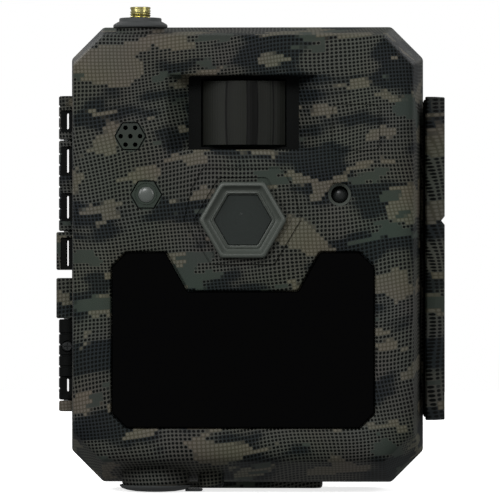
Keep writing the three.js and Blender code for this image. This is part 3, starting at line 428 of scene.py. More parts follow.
def repainted(piece, finish, chosen):
    """Gives the faces whose middle passes a test another finish."""
    mesh = piece.data
    mesh.materials.append(finish)
    index = len(mesh.materials) - 1
    for face in mesh.polygons:
        if chosen(face.center / MM, face.normal):
            face.material_index = index
    return piece


def delivered(piece, *nodes):
    """The piece stands for its nodes: it rides on their body, and the nodes are hidden."""
    record = frame["record"]
    bodies = record["behaviour"]["bodies"]
    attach(piece, next(body for body, members in bodies.items() if nodes[0] in members))
    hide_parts(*nodes)
    return piece


def companion(piece, node):
    """A piece that rides with a node that another piece already stands for."""
    bodies = frame["record"]["behaviour"]["bodies"]
    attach(piece, next(body for body, members in bodies.items() if node in members))
    return piece


def refinished(node, finish):
    """A carried-over node keeps its mesh and gets a finish."""
    mesh = frame["nodes"][node].data
    mesh.materials.clear()
    mesh.materials.append(finish)


# ---------------------------------------------------------------- node trees
def add(tree, kind, inputs=None, **options):
    """A node with its options and inputs set; an input may be a value or another node's socket."""
    node = tree.nodes.new(kind)
    for name, value in options.items():
        setattr(node, name, value)
    for name, value in (inputs or {}).items():
        socket = node.inputs[name]
        if isinstance(value, bpy.types.NodeSocket):
            tree.links.new(value, socket)
        else:
            socket.default_value = value
    return node


def math_node(tree, operation, first, second=0.0, clamp=False):
    node = add(tree, "ShaderNodeMath", {0: first, 1: second}, operation=operation, use_clamp=clamp)
    return node.outputs[0]


def vector_node(tree, operation, first, second=(0, 0, 0)):
    node = add(tree, "ShaderNodeVectorMath", {0: first, 1: second}, operation=operation)
    return node.outputs["Value" if operation in ("LENGTH", "DOT_PRODUCT", "DISTANCE") else "Vector"]


def mixed(tree, factor, first, second):
    node = add(tree, "ShaderNodeMix", data_type="RGBA")
    for socket, value in ((node.inputs[0], factor), (node.inputs[6], first), (node.inputs[7], second)):
        if isinstance(value, bpy.types.NodeSocket):
            tree.links.new(value, socket)
        else:
            socket.default_value = value
    return node.outputs[2]


def rgba(value, gain=1.0):
    return (value[0] * gain, value[1] * gain, value[2] * gain, 1.0)


def step_between(tree, value, low, high):
    """0 below low, 1 above high, smooth between; low may be above high."""
    node = add(
        tree, "ShaderNodeMapRange", {"Value": value, "From Min": low, "From Max": high},
        interpolation_type="SMOOTHSTEP",
    )
    return node.outputs["Result"]


def noise(tree, vector, scale, detail=2.0, roughness=0.5):
    node = add(
        tree, "ShaderNodeTexNoise",
        {"Vector": vector, "Scale": scale, "Detail": detail, "Roughness": roughness},
    )
    return node


def new_finish(name):
    """A node material with its Principled shader and the tree that feeds it."""
    finish = bpy.data.materials.new(name)
    finish.use_nodes = True
    tree = finish.node_tree
    return finish, tree, tree.nodes["Principled BSDF"]


def own_place(tree):
    return add(tree, "ShaderNodeTexCoord").outputs["Object"]


def bumped(tree, shader, height, strength, distance):
    bump = add(tree, "ShaderNodeBump", {"Height": height, "Strength": strength, "Distance": distance})
    tree.links.new(bump.outputs["Normal"], shader.inputs["Normal"])


# ---------------------------------------------------------------- finishes
def film():
    """The printed camouflage film: dotted net, pale patches and plain green patches."""
    if "camo film" in bpy.data.materials:
        return bpy.data.materials["camo film"]
    look = setting("film")
    pitch = look.dot_pitch / MM
    finish, tree, shader = new_finish("camo film")
    place = add(tree, "ShaderNodeUVMap", uv_map=PRINT).outputs["UV"]
    drift = noise(tree, place, 0.022, 1.5).outputs["Color"]
    drift = vector_node(tree, "SUBTRACT", drift, (0.5, 0.5, 0.5))
    swirl = 2 * look.swirl / MM
    drift = vector_node(tree, "MULTIPLY", drift, (swirl, swirl, 0))
    place = vector_node(tree, "ADD", place, drift)
    place = add(
        tree, "ShaderNodeVectorRotate", {"Vector": place, "Angle": look.lean}, rotation_type="Z_AXIS"
    ).outputs[0]
    grid = vector_node(tree, "DIVIDE", place, (pitch, pitch, 1))
    cell = vector_node(tree, "FLOOR", grid)
    offset = vector_node(tree, "SUBTRACT", vector_node(tree, "FRACTION", grid), (0.5, 0.5, 0))
    offset = vector_node(tree, "MULTIPLY", offset, (1, 1, 0))
    dot = step_between(tree, vector_node(tree, "LENGTH", offset), 0.46, 0.28)

    def patches(seed, scale, edge, across=1.0, along=0.5, turn=-0.6, soft=0.004):
        spot = add(
            tree, "ShaderNodeMapping",
            {"Vector": cell, "Location": (seed, 2 * seed, 0), "Rotation": (0, 0, turn),
             "Scale": (along, across, 1)},
        ).outputs[0]
        field = noise(tree, spot, scale, 2.5, 0.55).outputs["Fac"]
        return step_between(tree, field, edge - soft, edge + soft)

    shade = noise(tree, place, 0.035, 2.0).outputs["Fac"]
    pale = patches(11.0, 0.10, 0.56)
    plain = patches(37.0, 0.10, 0.62)
    deep = patches(71.0, 0.075, 0.53, soft=0.03)
    net_line = mixed(tree, shade, rgba(look.net_line, 0.75), rgba(look.net_line, 1.35))
    net_line = mixed(tree, deep, net_line, (0.017, 0.021, 0.0225, 1))
    net = mixed(tree, dot, net_line, rgba(look.net_dot))
    ground = mixed(tree, shade, rgba(look.cream_ground, 0.8), rgba(look.cream_ground, 1.1))
    cream = mixed(tree, dot, ground, rgba(look.cream_dot))
    flat = add(tree, "ShaderNodeUVMap", uv_map=PRINT).outputs["UV"]
    from_mic = vector_node(tree, "DISTANCE", flat, (L.mic.x, L.mic.z, 0))
    plain = math_node(tree, "MAXIMUM", plain, step_between(tree, from_mic, 4.7, 4.5))
    from_sensor = vector_node(tree, "DISTANCE", flat, (L.light_sensor.x, L.light_sensor.z, 0))
    plain = math_node(tree, "MAXIMUM", plain, step_between(tree, from_sensor, 4.7, 4.5))
    print_colour = mixed(tree, pale, net, cream)
    print_colour = mixed(tree, plain, print_colour, rgba(look.plain_green))
    tint = noise(tree, place, 0.05, 1.0).outputs["Color"]
    tint = mixed(tree, 0.12, (0.5, 0.5, 0.5, 1), tint)
    tint = vector_node(tree, "SCALE", tint)
    tint.node.inputs["Scale"].default_value = 2.0
    print_colour = vector_node(tree, "MULTIPLY", print_colour, tint)
    tree.links.new(print_colour, shader.inputs["Base Color"])
    grain = noise(tree, own_place(tree), 2600, 2).outputs["Fac"]
    bumped(tree, shader, grain, 0.12, 0.0002)
    wear = noise(tree, own_place(tree), 90, 3).outputs["Fac"]
    rough = add(
        tree, "ShaderNodeMapRange",
        {"Value": wear, "To Min": look.roughness - 0.08, "To Max": look.roughness + 0.12},
    )
    tree.links.new(rough.outputs["Result"], shader.inputs["Roughness"])
    shader.inputs["Specular IOR Level"].default_value = 0.08
    return finish


def moulded(name, base, roughness=0.5, grain=1800.0, relief=0.12, speckle=0.12, metallic=0.0, specular=0.4):
    """Moulded, plated or cast stuff: an even colour with a fine grain and uneven gloss."""
    if name in bpy.data.materials:
        return bpy.data.materials[name]
    finish, tree, shader = new_finish(name)
    place = own_place(tree)
    cloud = noise(tree, place, 220, 3).outputs["Fac"]
    tone = mixed(tree, cloud, rgba(base, 1 - speckle), rgba(base, 1 + speckle))
    tree.links.new(tone, shader.inputs["Base Color"])
    smear = noise(tree, place, 75, 3).outputs["Fac"]
    rough = add(
        tree, "ShaderNodeMapRange",
        {"Value": smear, "To Min": max(roughness - 0.08, 0.02), "To Max": min(roughness + 0.08, 1)},
    )
    tree.links.new(rough.outputs["Result"], shader.inputs["Roughness"])
    bumped(tree, shader, noise(tree, place, grain, 2).outputs["Fac"], relief, 0.0002)
    shader.inputs["Metallic"].default_value = metallic
    shader.inputs["Specular IOR Level"].default_value = specular
    return finish


def dark_plastic():
    return moulded("black plastic", (0.0045, 0.0050, 0.0048), 0.6, specular=0.05)


def rubber():
    return moulded("rubber", (0.0045, 0.0050, 0.0050), 0.75, 900, 0.2, specular=0.08)


def steel():
    return moulded("plated steel", (0.50, 0.51, 0.51), 0.3, 1500, 0.06, 0.06, 1.0)


def brass():
    return moulded("gilt brass", (0.72, 0.66, 0.28), 0.28, 1400, 0.05, 0.1, 1.0)


def gold():
    return moulded("gold contact", (0.83, 0.62, 0.25), 0.22, 1400, 0.03, 0.05, 1.0)


def board():
    return moulded("solder mask", (0.012, 0.062, 0.030), 0.35, 500, 0.1)


def grey_plastic():
    return moulded("panel grey", (0.045, 0.050, 0.050), 0.6, 1200, 0.35)


def key_grey():
    return moulded("key rubber", (0.15, 0.16, 0.15), 0.65, 1500, 0.15)


def white_ink():
    return moulded("marking ink", (0.55, 0.57, 0.55), 0.6, 1500, 0.05)


def bezel_plastic():
    return moulded("bezel plastic", tuple(setting("optics").bezel_colour), 0.42, 2400, 0.12)


def glassy(name, base, roughness, alpha=1.0, transmission=0.0, specular=0.5, coat=0.0):
    """Polished stuff with faint rubbing marks."""
    if name in bpy.data.materials:
        return bpy.data.materials[name]
    finish, tree, shader = new_finish(name)
    place = own_place(tree)
    haze = noise(tree, place, 60, 3).outputs["Fac"]
    tone = mixed(tree, haze, rgba(base, 0.92), rgba(base, 1.08))
    tree.links.new(tone, shader.inputs["Base Color"])
    streak = add(
        tree, "ShaderNodeMapping", {"Vector": place, "Scale": (14, 14, 160), "Rotation": (0.3, 0.2, 0.1)}
    ).outputs[0]
    rub = noise(tree, streak, 8, 4, 0.6).outputs["Fac"]
    rough = add(tree, "ShaderNodeMapRange", {"Value": rub, "To Min": roughness, "To Max": roughness + 0.05})
    tree.links.new(rough.outputs["Result"], shader.inputs["Roughness"])
    shader.inputs["Alpha"].default_value = alpha
    shader.inputs["Transmission Weight"].default_value = transmission
    shader.inputs["Specular IOR Level"].default_value = specular
    shader.inputs["Coat Weight"].default_value = coat
    return finish


def smoked_glass():
    return glassy("smoked glass", tuple(setting("optics").window_tint), 0.22, alpha=0.72, specular=0.3)


def night_window():
    return glassy("infrared window", (0.0006, 0.0006, 0.0007), 0.05, specular=0.08)


def clear_glass():
    return glassy("clear lens", (0.085, 0.095, 0.087), 0.28, specular=0.4, coat=0.1)


def lens_glass():
    return glassy("coated lens", (0.006, 0.008, 0.012), 0.03, specular=0.9, coat=1.0)


def motion_film():
    """The milky film of the motion sensor, darker where its middle facet looks at the sensor. Each facet is
    painted with shade that lightens across it, and the seams between facets are dark lines.
    """
    if "motion film" in bpy.data.materials:
        return bpy.data.materials["motion film"]
    finish, tree, shader = new_finish("motion film")
    place = own_place(tree)
    facets = add(tree, "ShaderNodeUVMap", uv_map=PRINT).outputs["UV"]
    count = add(tree, "ShaderNodeSeparateXYZ", {"Vector": facets}).outputs["X"]
    along = math_node(tree, "FRACT", count)
    seam = math_node(tree, "MINIMUM", along, math_node(tree, "SUBTRACT", 1.0, along))
    line = step_between(tree, seam, 0.07, 0.02)
    away = math_node(tree, "ABSOLUTE", math_node(tree, "SUBTRACT", count, 2.5))
    dark = step_between(tree, away, 0.52, 0.48)
    base = setting("optics").film_tint
    # Painted shade and highlight: each facet runs from darker to lighter across its width.
    tone = mixed(tree, along, rgba(base, 0.75), rgba(base, 1.2))
    tone = mixed(tree, dark, tone, rgba(base, 0.12))
    tone = mixed(tree, line, tone, rgba(base, 0.04))
    cloud = noise(tree, place, 350, 3).outputs["Fac"]
    tone = mixed(tree, math_node(tree, "MULTIPLY", cloud, 0.3), tone, rgba(base, 0.5))
    tree.links.new(tone, shader.inputs["Base Color"])
    wave = add(
        tree, "ShaderNodeTexWave", {"Vector": place, "Scale": 420.0, "Distortion": 0.4},
        bands_direction="X",
    ).outputs["Fac"]
    bumped(tree, shader, wave, 0.12, 0.0002)
    shader.inputs["Roughness"].default_value = 0.5
    shader.inputs["Specular IOR Level"].default_value = 0.12
    return finish


def sleeve(name="cell sleeve"):
    """A cell's printed sleeve: a dark green body with a coppery band at its plus end."""
    if name in bpy.data.materials:
        return bpy.data.materials[name]
    finish, tree, shader = new_finish(name)
    place = add(tree, "ShaderNodeUVMap", uv_map=PRINT).outputs["UV"]
    parts = add(tree, "ShaderNodeSeparateXYZ", {"Vector": place})
    band = step_between(tree, parts.outputs["Y"], 35.8, 36.0)
    line = step_between(
        tree, math_node(tree, "ABSOLUTE", math_node(tree, "SUBTRACT", parts.outputs["Y"], 34.6)), 0.45, 0.4
    )
    tone = mixed(tree, band, (0.016, 0.075, 0.045, 1), (0.46, 0.22, 0.07, 1))
    tone = mixed(tree, line, tone, (0.5, 0.5, 0.45, 1))
    scuff = noise(tree, own_place(tree), 300, 4).outputs["Fac"]
    tone = mixed(tree, math_node(tree, "MULTIPLY", scuff, 0.2), tone, (0.03, 0.03, 0.03, 1))
    tree.links.new(tone, shader.inputs["Base Color"])
    bumped(tree, shader, noise(tree, own_place(tree), 900, 2).outputs["Fac"], 0.05, 0.0002)
    shader.inputs["Roughness"].default_value = 0.3
    shader.inputs["Metallic"].default_value = 0.2
    return finish


# ---------------------------------------------------------------- case outlines
def case_outline(side, top, bottom, cut, corner=1.8):
    half = L.half
    return rounded(chamfered(-half + side, half - side, bottom, L.height - top, cut), corner)


def shoulder(edge, flat, y0, y1, steps=6):
    """Rings of (y, side, top, bottom, chamfer) that turn a wall into a flat along a quarter round."""
    rings = []
    for step in range(steps + 1):
        angle = math.pi / 2 * step / steps
        share_in = 1 - math.cos(angle)
        insets = [e + (f - e) * share_in for e, f in zip(edge, flat)]
        rings.append((y0 + (y1 - y0) * math.sin(angle), *insets))
    return rings


def case_loft(rings, flat_from):
    """The skin through the rings; the print runs true on the flat side and is drawn out along walls."""
    points = [at_y(case_outline(*insets), y) for y, *insets in rings]
    prints = []
    for (y, *insets), ring in zip(rings, points):
        run = max(abs(y - flat_from) - 4, 0)
        outline = grown(case_outline(*insets), run / 3)
        mark = []
        for (x, z), (_, _, here) in zip(outline, ring):
            if here < 32:
                z = here - run / 9 + (here - insets[2]) * 0.02
            mark.append((x, z))
        prints.append(mark)
    return loft(points, prints)


def knuckle_plan():
    """Knuckles from the top down: whose, length, radius, slits as (from the bottom, length)."""
    plan = [
        (True, 13.5, 2.8, [(3.2, 5)], 0),
        (False, 28.1, 2.8, [(18.1, 7.3), (3.9, 7)], 0.3),
        (True, 11.8, 3.6, [(1.2, 8)], 0.3),
        (True, 12.5, 3.6, [], 2.5),
        (False, 25, 2.8, [(2.5, 4)], 0.3),
        (True, 3.3, 2.8, [], 0.3),
    ]
    top = L.height - 21.3
    result = []
    for on_door, span, radius, slits, gap in plan:
        top -= gap
        result.append((on_door, top - span, top, radius, slits))
        top -= span
    return result


def hinge_knuckle(bottom, top, radius, root_from, root_to):
    """A barrel with a root into the case, its rims eased and rings turned into it."""
    x, y = L.hinge.x, L.hinge.y
    profile = [(radius - 0.35, bottom), (radius, bottom + 0.35)]
    z = bottom + 3.2
    while z < top - 2.4 and radius < 3:
        profile += [(radius, z), (radius - 0.28, z + 0.2), (radius - 0.28, z + 0.5), (radius, z + 0.7)]
        z += 3.4
    profile += [(radius, top - 0.35), (radius - 0.35, top)]
    barrel = turned_z([(r, h) for r, h in profile], x, y, 0, 24)
    root = column(rounded([(x, root_from), (-L.half + 2.4, root_from), (-L.half + 2.4, root_to),
                           (x, root_to)], 0.4), bottom + 0.15, top - 0.15, 0.3)
    return barrel, root


def slit_cutters(on_door):
    """Slots with rounded ends and, beside each, the channel that leaves it standing between two rails; the
    channel's walls are painted black as shade.
    """
    cutters = []
    for owner, bottom, _, radius, slits in knuckle_plan():
        if owner != on_door:
            continue
        for start, span in slits:
            low, high = bottom + start, bottom + start + span
            x = L.hinge.x
            cutters.append(slab(rounded(rectangle(x - 0.4, x + 0.4, low, high), 0.35), -9, 9))
            # The channel's walls take the black finish: painted shade where the slit's deep walls fall in
            # shadow.
            shaded_channel = rounded(rectangle(x - 2.1, x + 1.9, low - 0.9, high + 0.9), 0.4)
            cutters.append((slab(shaded_channel, L.hinge.y - 9, L.hinge.y - radius + 1.0), dark_plastic()))
    return cutters


def add_knuckles(piece, on_door, root_from, root_to):
    shapes = []
    for index, (owner, bottom, top, radius, _) in enumerate(knuckle_plan()):
        if owner == on_door:
            finish = dark_plastic() if index == 4 else film()
            shapes += [(shape, finish) for shape in hinge_knuckle(bottom, top, radius, root_from, root_to)]
    grafted(piece, shapes)
    cutters = slit_cutters(on_door)
    for owner, bottom, top, radius, _ in knuckle_plan():
        if owner != on_door:
            room = circle(radius + 0.35, L.hinge.x, L.hinge.y, 24)
            cutters.append(column(room, bottom - 0.3, top + 0.3))
    for index in range(1, 5):
        low, high = L.low(f"hinge_pin_{index}"), L.high(f"hinge_pin_{index}")
        radius = (high.x - low.x) / 2 + (0.12 if on_door else 0.04)
        cutters.append(column(circle(radius, L.hinge.x, L.hinge.y, 16), low.z - 0.1, high.z + 0.1))
    return carved(piece, cutters)


class Piece(Operator):
    """Builds a piece of the trail camera."""

    bl_options = {"REGISTER", "UNDO"}

    def execute(self, context):
        self.build()
        return {"FINISHED"}


# ---------------------------------------------------------------- front cover
def window_outline(inset):
    """The infrared window: a wide panel with a notch under the lens."""
    half = 39.9 - inset
    cut = 4.5 - inset * 0.4
    bottom, top = 17.9 + inset, L.lens.z - 9.7 - inset
    notch = L.lens.z - 21.6 - inset
    return [
        (-half + cut, bottom), (half - cut, bottom), (half, bottom + cut), (half, top - cut),
        (half - cut, top), (23.3 + inset, top), (16.7 + inset, notch),
        (-16.7 - inset, notch), (-23.3 - inset, top), (-half + cut, top), (-half, top - cut),
        (-half, bottom + cut),
    ]


def rounded_box(width, height, radius, cx, cz):
    x, z = width / 2, height / 2
    return rounded(rectangle(cx - x, cx + x, cz - z, cz + z), radius, 5)


def motion_pocket(depth=8.6):
    """The flared pocket round the motion lens, its mouth eased into the face."""
    low, high = L.pir.z - 11.3, L.pir.z + 11.3
    rings = []
    for sunk, flare in ((-1.0, 1.4), (0.0, 0.7), (0.15, 0.35), (0.4, 0.1), (0.8, 0.0), (depth, 0.0)):
        half = 22.95 - (22.95 - 16.8) * max(sunk, 0) / depth + flare
        rings.append(at_y(rounded(rectangle(-half, half, low - flare, high + flare), 0.8), L.face + sunk))
    return loft(rings)


class TRAIL_OT_front_cover(Piece):
    """The hinged front cover with its pockets, bosses, knuckles and catch rib"""

    bl_idname = "trail.front_cover"
    bl_label = "Front cover"

    def build(self):
        face = L.face
        rings = [(0, 0.3, 0.3, 0.3, 9.8), (-0.3, 0, 0, 0, 9.8), (-14, 1.2, 1.6, 1.2, 9.6)]
        rings += shoulder((2.7, 3.7, 7.5, 9.0), (8.5, 7.0, 13.5, 8.0), face + 4, face)
        cover = made("front_cover", case_loft(rings, face), film())
        sma, inlet = L.antenna, L.inlet
        head = L.height - 1.2
        foot = -1.1
        boss = [(7.4, head - 9), (7.4, head - 0.4), (7.0, head)]
        dome = [(7.5, foot), (9.2, foot + 0.45), (10.1, foot + 1.2), (10.4, foot + 2.2), (10.4, 10)]
        grafted(cover, [
            turned_z(boss, sma.x, sma.y, 0, 40),
            turned_z(dome, inlet.x, inlet.y, 0, 48),
            turned_z([(3.4, foot + 0.4), (4, foot + 1), (4, 7)], inlet.x + 17, inlet.y, 0, 24),
        ])
        plateau = [(-9.5, 67.5), (9.5, 67.5), (17.6, L.lens.z), (15.3, 90.5), (12, 96.5), (-12, 96.5),
                   (-15.3, 90.5), (-17.6, L.lens.z)]
        grafted(cover, [slab(rounded(plateau, 0.8), face - 0.28, face + 1, 0.14)])
        rib_root, crest = L.half - 3, L.half + 0.1
        y = -9.4
        rib = [(rib_root, y + 4.4), (crest, y + 4), (crest, y + 1.4), (rib_root, y)]
        grafted(cover, [column(rib, 20 + 5.6, 119 - 6, 0.2)])
        dark = dark_plastic()
        inner = [(-2.5, 2.5, 2.5, 2.5, 8.8), (-14, 3.7, 4.1, 3.7, 8.6), (face + 5, 5.2, 6.2, 10, 8),
                 (face + 2.5, 8.5, 8, 13.5, 7.2)]
        cavity = loft([at_y(case_outline(*insets), y) for y, *insets in inner])
        opening = case_outline(7, 7, 7, 6.8, 1.0)
        carved(cover, [(cavity, dark), (slab(opening, -4, 1), dark)])
        pocket_wall = slab(rounded_box(50.5, 27, 1, 0, L.pir.z), face + 1, face + 11)
        stems = [
            turned_y([(5.4, -5), (5.4, -1)], L.light_sensor.x, face, L.light_sensor.z, 24),
            turned_y([(5.4, -7), (5.4, -1)], L.status.x, face, L.status.z, 24),
        ]
        for index in range(1, 5):
            at = L.centre(f"panel_screw_{index}")
            stems.append(turned_y([(3.2, -36.3), (3.2, -4)], at.x, face, at.z, 20))
        grafted(cover, [(pocket_wall, dark)] + [(stem, dark) for stem in stems])
        pad = hexagon(4.75, L.light_sensor.x, L.light_sensor.z)
        mic = L.mic
        holes = [(mic.x, mic.z)] + [
            (mic.x + 2.95 * math.cos(a), mic.z + 2.95 * math.sin(a))
            for a in (math.pi / 3 * i for i in range(6))
        ]
        lens_room = rounded(hexagon(11.0, 0, L.lens.z), 1)
        carved(cover, [
            motion_pocket(),
            (slab(rectangle(-13, 13, L.pir.z - 10.3, L.pir.z + 10.3), face + 2, face + 20), dark),
            (slab(lens_room, face - 2, face + 12), dark),
            groove(rounded(grown(plateau, 0.1), 0.8), 0.5, 0.3, face),
            groove(rounded(hexagon(14.1, 0, L.lens.z), 1.2), 1.5, 0.5, face - 0.28),
            recess(rounded(window_outline(-0.25), 1.4), face, 2.2, 0.55),
            (slab(rounded(window_outline(2), 1), face - 1, face + 9), dark),
            (groove(rounded(pad, 0.5), 0.4, 0.5, face), dark),
            groove(circle(3.3, L.light_sensor.x, L.light_sensor.z, 32), 0.5, 0.2, face),
            slab(circle(2.5, L.light_sensor.x, L.light_sensor.z), face - 1, face + 9),
            recess(rounded(hexagon(4.0, L.status.x, L.status.z), 0.9), face, 0.9, 0.4),
            (loft([at_y(circle(3.9, L.status.x, L.status.z), face + 0.4),
                   at_y(circle(2.65, L.status.x, L.status.z), face + 1.9),
                   at_y(circle(2.6, L.status.x, L.status.z), face + 9)]), bezel_plastic()),
            (groove(rounded(hexagon(4.7, mic.x, mic.z), 0.6), 0.4, 0.45, face), dark),
            groove(rounded_box(14.4, 14, 2, 34.3, L.height - 32.1), 0.4, 0.3, face),
            (column(circle(3.25, sma.x, sma.y), head - 12, head + 5), dark),
            (column(circle(4.9, inlet.x, inlet.y, 32), -5, 12), dark),
            (column(circle(5.9, inlet.x, inlet.y, 32), 1.5, 12), dark),
        ])
        for x, z in holes:
            carved(cover, [(slab(circle(0.72, x, z, 12), face - 1, face + 4), dark)])
        add_knuckles(cover, True, L.hinge.y - 2.4, 0)
        floor_y = face + 8.5
        repainted(cover, dark, lambda at, normal: normal.y < -0.9 and abs(
            at.y - L.origin.y - floor_y) < 0.6 and abs(at.x - L.origin.x) < 18 and abs(
            at.z - L.origin.z - L.pir.z) < 12)
        repainted(cover, dark, lambda at, normal: normal.y > 0.9 and at.y - L.origin.y > -3)
        delivered(cover, "front_cover")


# ---------------------------------------------------------------- optics
class TRAIL_OT_bezel(Piece):
    """The hexagonal lens bezel and the smoked window in it"""

    bl_idname = "trail.bezel"
    bl_label = "Lens bezel and window"

    def build(self):
        face = L.face
        profile = [
            (13.1, 0.1), (13.35, -0.05), (13.35, -1.0), (13.15, -1.6), (12.75, -1.92), (12.3, -2.0),
            (12.0, -1.95), (11.75, -1.7), (11.5, -1.2), (11.1, -0.6), (10.7, -0.15), (10.2, 0.12),
            (9.95, 0.05), (9.75, -0.15), (9.5, -0.2), (9.35, -0.05), (9.2, 0.3), (9.0, 0.35),
            (8.9, 0.7), (8.85, 1.95), (7.7, 2.0), (7.7, 6.0), (10.4, 6.0), (10.4, 0.1),
        ]
        rings = [
            at_y(rounded(hexagon(r, 0, L.lens.z), 1.3 if r > 9 else 0.9, 4), face + y) for r, y in profile
        ]
        bezel = made("lens_bezel", loft(rings, closed=True), bezel_plastic())
        delivered(bezel, "lens_bezel")
        y0 = L.low("lens_window").y
        glass = made("lens_window", slab(rounded(hexagon(8.75, 0, L.lens.z), 0.9, 4), y0, y0 + 1, 0.15),
                     smoked_glass())
        delivered(glass, "lens_window")


class TRAIL_OT_barrel(Piece):
    """The lens barrel with its ringed mouth and glass, and a painted glint: a light grey disc and ring in
    front of the glass
    """

    bl_idname = "trail.barrel"
    bl_label = "Lens barrel"

    def build(self):
        back, front = L.high("lens_barrel").y, L.low("lens_barrel").y
        deep = back - front
        profile = [(0.01, 0), (5, 0), (5, 5)]
        for i in range(7):
            z = 5.2 + i * 0.9
            profile += [(6, z), (6, z + 0.5), (5.7, z + 0.6), (5.7, z + 0.8)]
        profile += [(6, 11.7), (5.9, deep - 0.3), (5.6, deep), (3.6, deep), (3.4, deep - 0.2),
                    (3.2, deep - 0.6), (3.0, deep - 0.65), (2.9, deep - 1.1), (0.01, deep - 1.1)]
        barrel = made("lens_barrel", turned_y(profile, 0, back, L.lens.z, 48), dark_plastic())
        dome = [(0.01, -1.2), (2.88, -1.2), (2.88, -1.0), (2.5, -0.78), (1.9, -0.6), (1.2, -0.48),
                (0.01, -0.42)]
        glass = made("front_element", turned_y([(r, h) for r, h in dome], 0, front, L.lens.z, 48),
                     lens_glass())
        # A light grey disc and ring in front of the glass: a painted glint that stands in for light caught by
        # the lens.
        spot = [(0.01, -0.42), (1.1, -0.44), (1.1, -0.36), (0.9, -0.33), (0.01, -0.32)]
        rim = loft([at_y(circle(r, 0, L.lens.z, 48), front - h) for r, h in
                    ((3.1, -0.5), (3.1, 0.12), (3.25, 0.2), (3.45, 0.12), (3.45, -0.2))], closed=True)
        painted_glint_piece = made("iris_glint", [turned_y(spot, 0, front, L.lens.z, 32), rim],
                    moulded("iris glint", (0.15, 0.16, 0.16), 0.35))
        delivered(barrel, "lens_barrel")
        companion(glass, "lens_barrel")
        companion(painted_glint_piece, "lens_barrel")


class TRAIL_OT_motion_lens(Piece):
    """The curved motion lens, a film of upright facets"""

    bl_idname = "trail.motion_lens"
    bl_label = "Motion lens"

    def build(self):
        look = setting("optics")
        low, high = L.low("pir_lens"), L.high("pir_lens")
        front, half = low.y, (high.x - low.x) / 2
        rise = 5.7
        radius = (half * half + rise * rise) / (2 * rise)
        edges = (-half, -4.9, 1.2, 4.1, 8.9, half)
        bow = look.barrel_bow / MM
        rows, steps = 14, 7
        sheets, outer, inner, marks = [], [], [], []
        for row in range(rows + 1):
            z = low.z + 0.3 + (high.z - low.z - 0.6) * row / rows
            lift = 1 - (2 * row / rows - 1) ** 2
            line_out, line_in, mark = [], [], []
            for index, (left, right) in enumerate(zip(edges, edges[1:])):
                for step in range(steps):
                    share_x = step / steps
                    mark.append((index + share_x, z))
                    x = left + (right - left) * share_x
                    x += bow * lift * (x / half) * (1 - abs(x) / half) * 2
                    swell = math.sin(math.pi * share_x) ** 0.7 * look.facet_bulge / MM
                    arc = radius - math.sqrt(radius * radius - min(abs(x), half) ** 2)
                    line_out.append((x, front + arc - swell + 0.3, z))
                    line_in.append((x, front + arc + 1.1, z))
            line_out.append((half, front + rise, z))
            line_in.append((half, front + rise + 1.1, z))
            mark.append((len(edges) - 1, z))
            outer.append(line_out)
            inner.append(line_in)
            marks.append(mark + mark[::-1])
        rings = [line_out + line_in[::-1] for line_out, line_in in zip(outer, inner)]
        sheets.append(loft(rings, marks))
        for side in (-1, 1):
            x = side * (half - 0.55)
            sheets.append(block((x - 0.5, front + rise + 0.5, low.z), (x + 0.5, high.y, high.z), 0.15))
        lens = made("pir_lens", sheets, motion_film())
        delivered(lens, "pir_lens")


class TRAIL_OT_night_window(Piece):
    """The black infrared window and the lamps behind it"""

    bl_idname = "trail.night_window"
    bl_label = "Infrared window and lamps"

    def build(self):
        low, high = L.low("ir_window"), L.high("ir_window")
        pane = made("ir_window", slab(rounded(window_outline(0.15), 1.2), low.y, high.y, 0.3), night_window())
        delivered(pane, "ir_window")
        y0 = L.face + 8
        plate = made("ir_led_board", slab(rounded(window_outline(3.4), 1), y0, y0 + 1.6), board())
        delivered(plate, "ir_led_board")
        lamp = made("lamp", turned_y(
            [(0.01, -0.1), (2.5, -0.1), (2.5, 0.4), (2.3, 0.45), (2.3, 1.5), (1.9, 2.15), (1.1, 2.5),
             (0.01, 2.6)],
            0, 0, 0, 16), moulded("lamp epoxy", (0.10, 0.09, 0.12), 0.12))
        lamp.data.transform(Matrix.Translation(-L.origin * MM))
        field = setting("field")
        top = L.lens.z - 9.7
        rows = int((top - 7 - 26.9) / (field.led_pitch / MM)) + 1
        columns = int(61.8 / (field.led_pitch / MM)) + 1
        lamps = grown_by("ir_lamps", lamp_field(), {
            "Lamp": lamp, "Columns": columns, "Rows": rows, "Pitch": field.led_pitch,
            "Corner": L.metres(-(columns - 1) * field.led_pitch / MM / 2, y0, 26.9),
            "Notch height": L.metres(0, 0, L.lens.z - 27.6).z, "Notch middle": L.metres(0, 0, 0).x,
            "Notch half": 29.3 * MM, "Finish": lamp.data.materials[0],
        })
        bpy.data.objects.remove(lamp)
        companion(lamps, "ir_led_board")


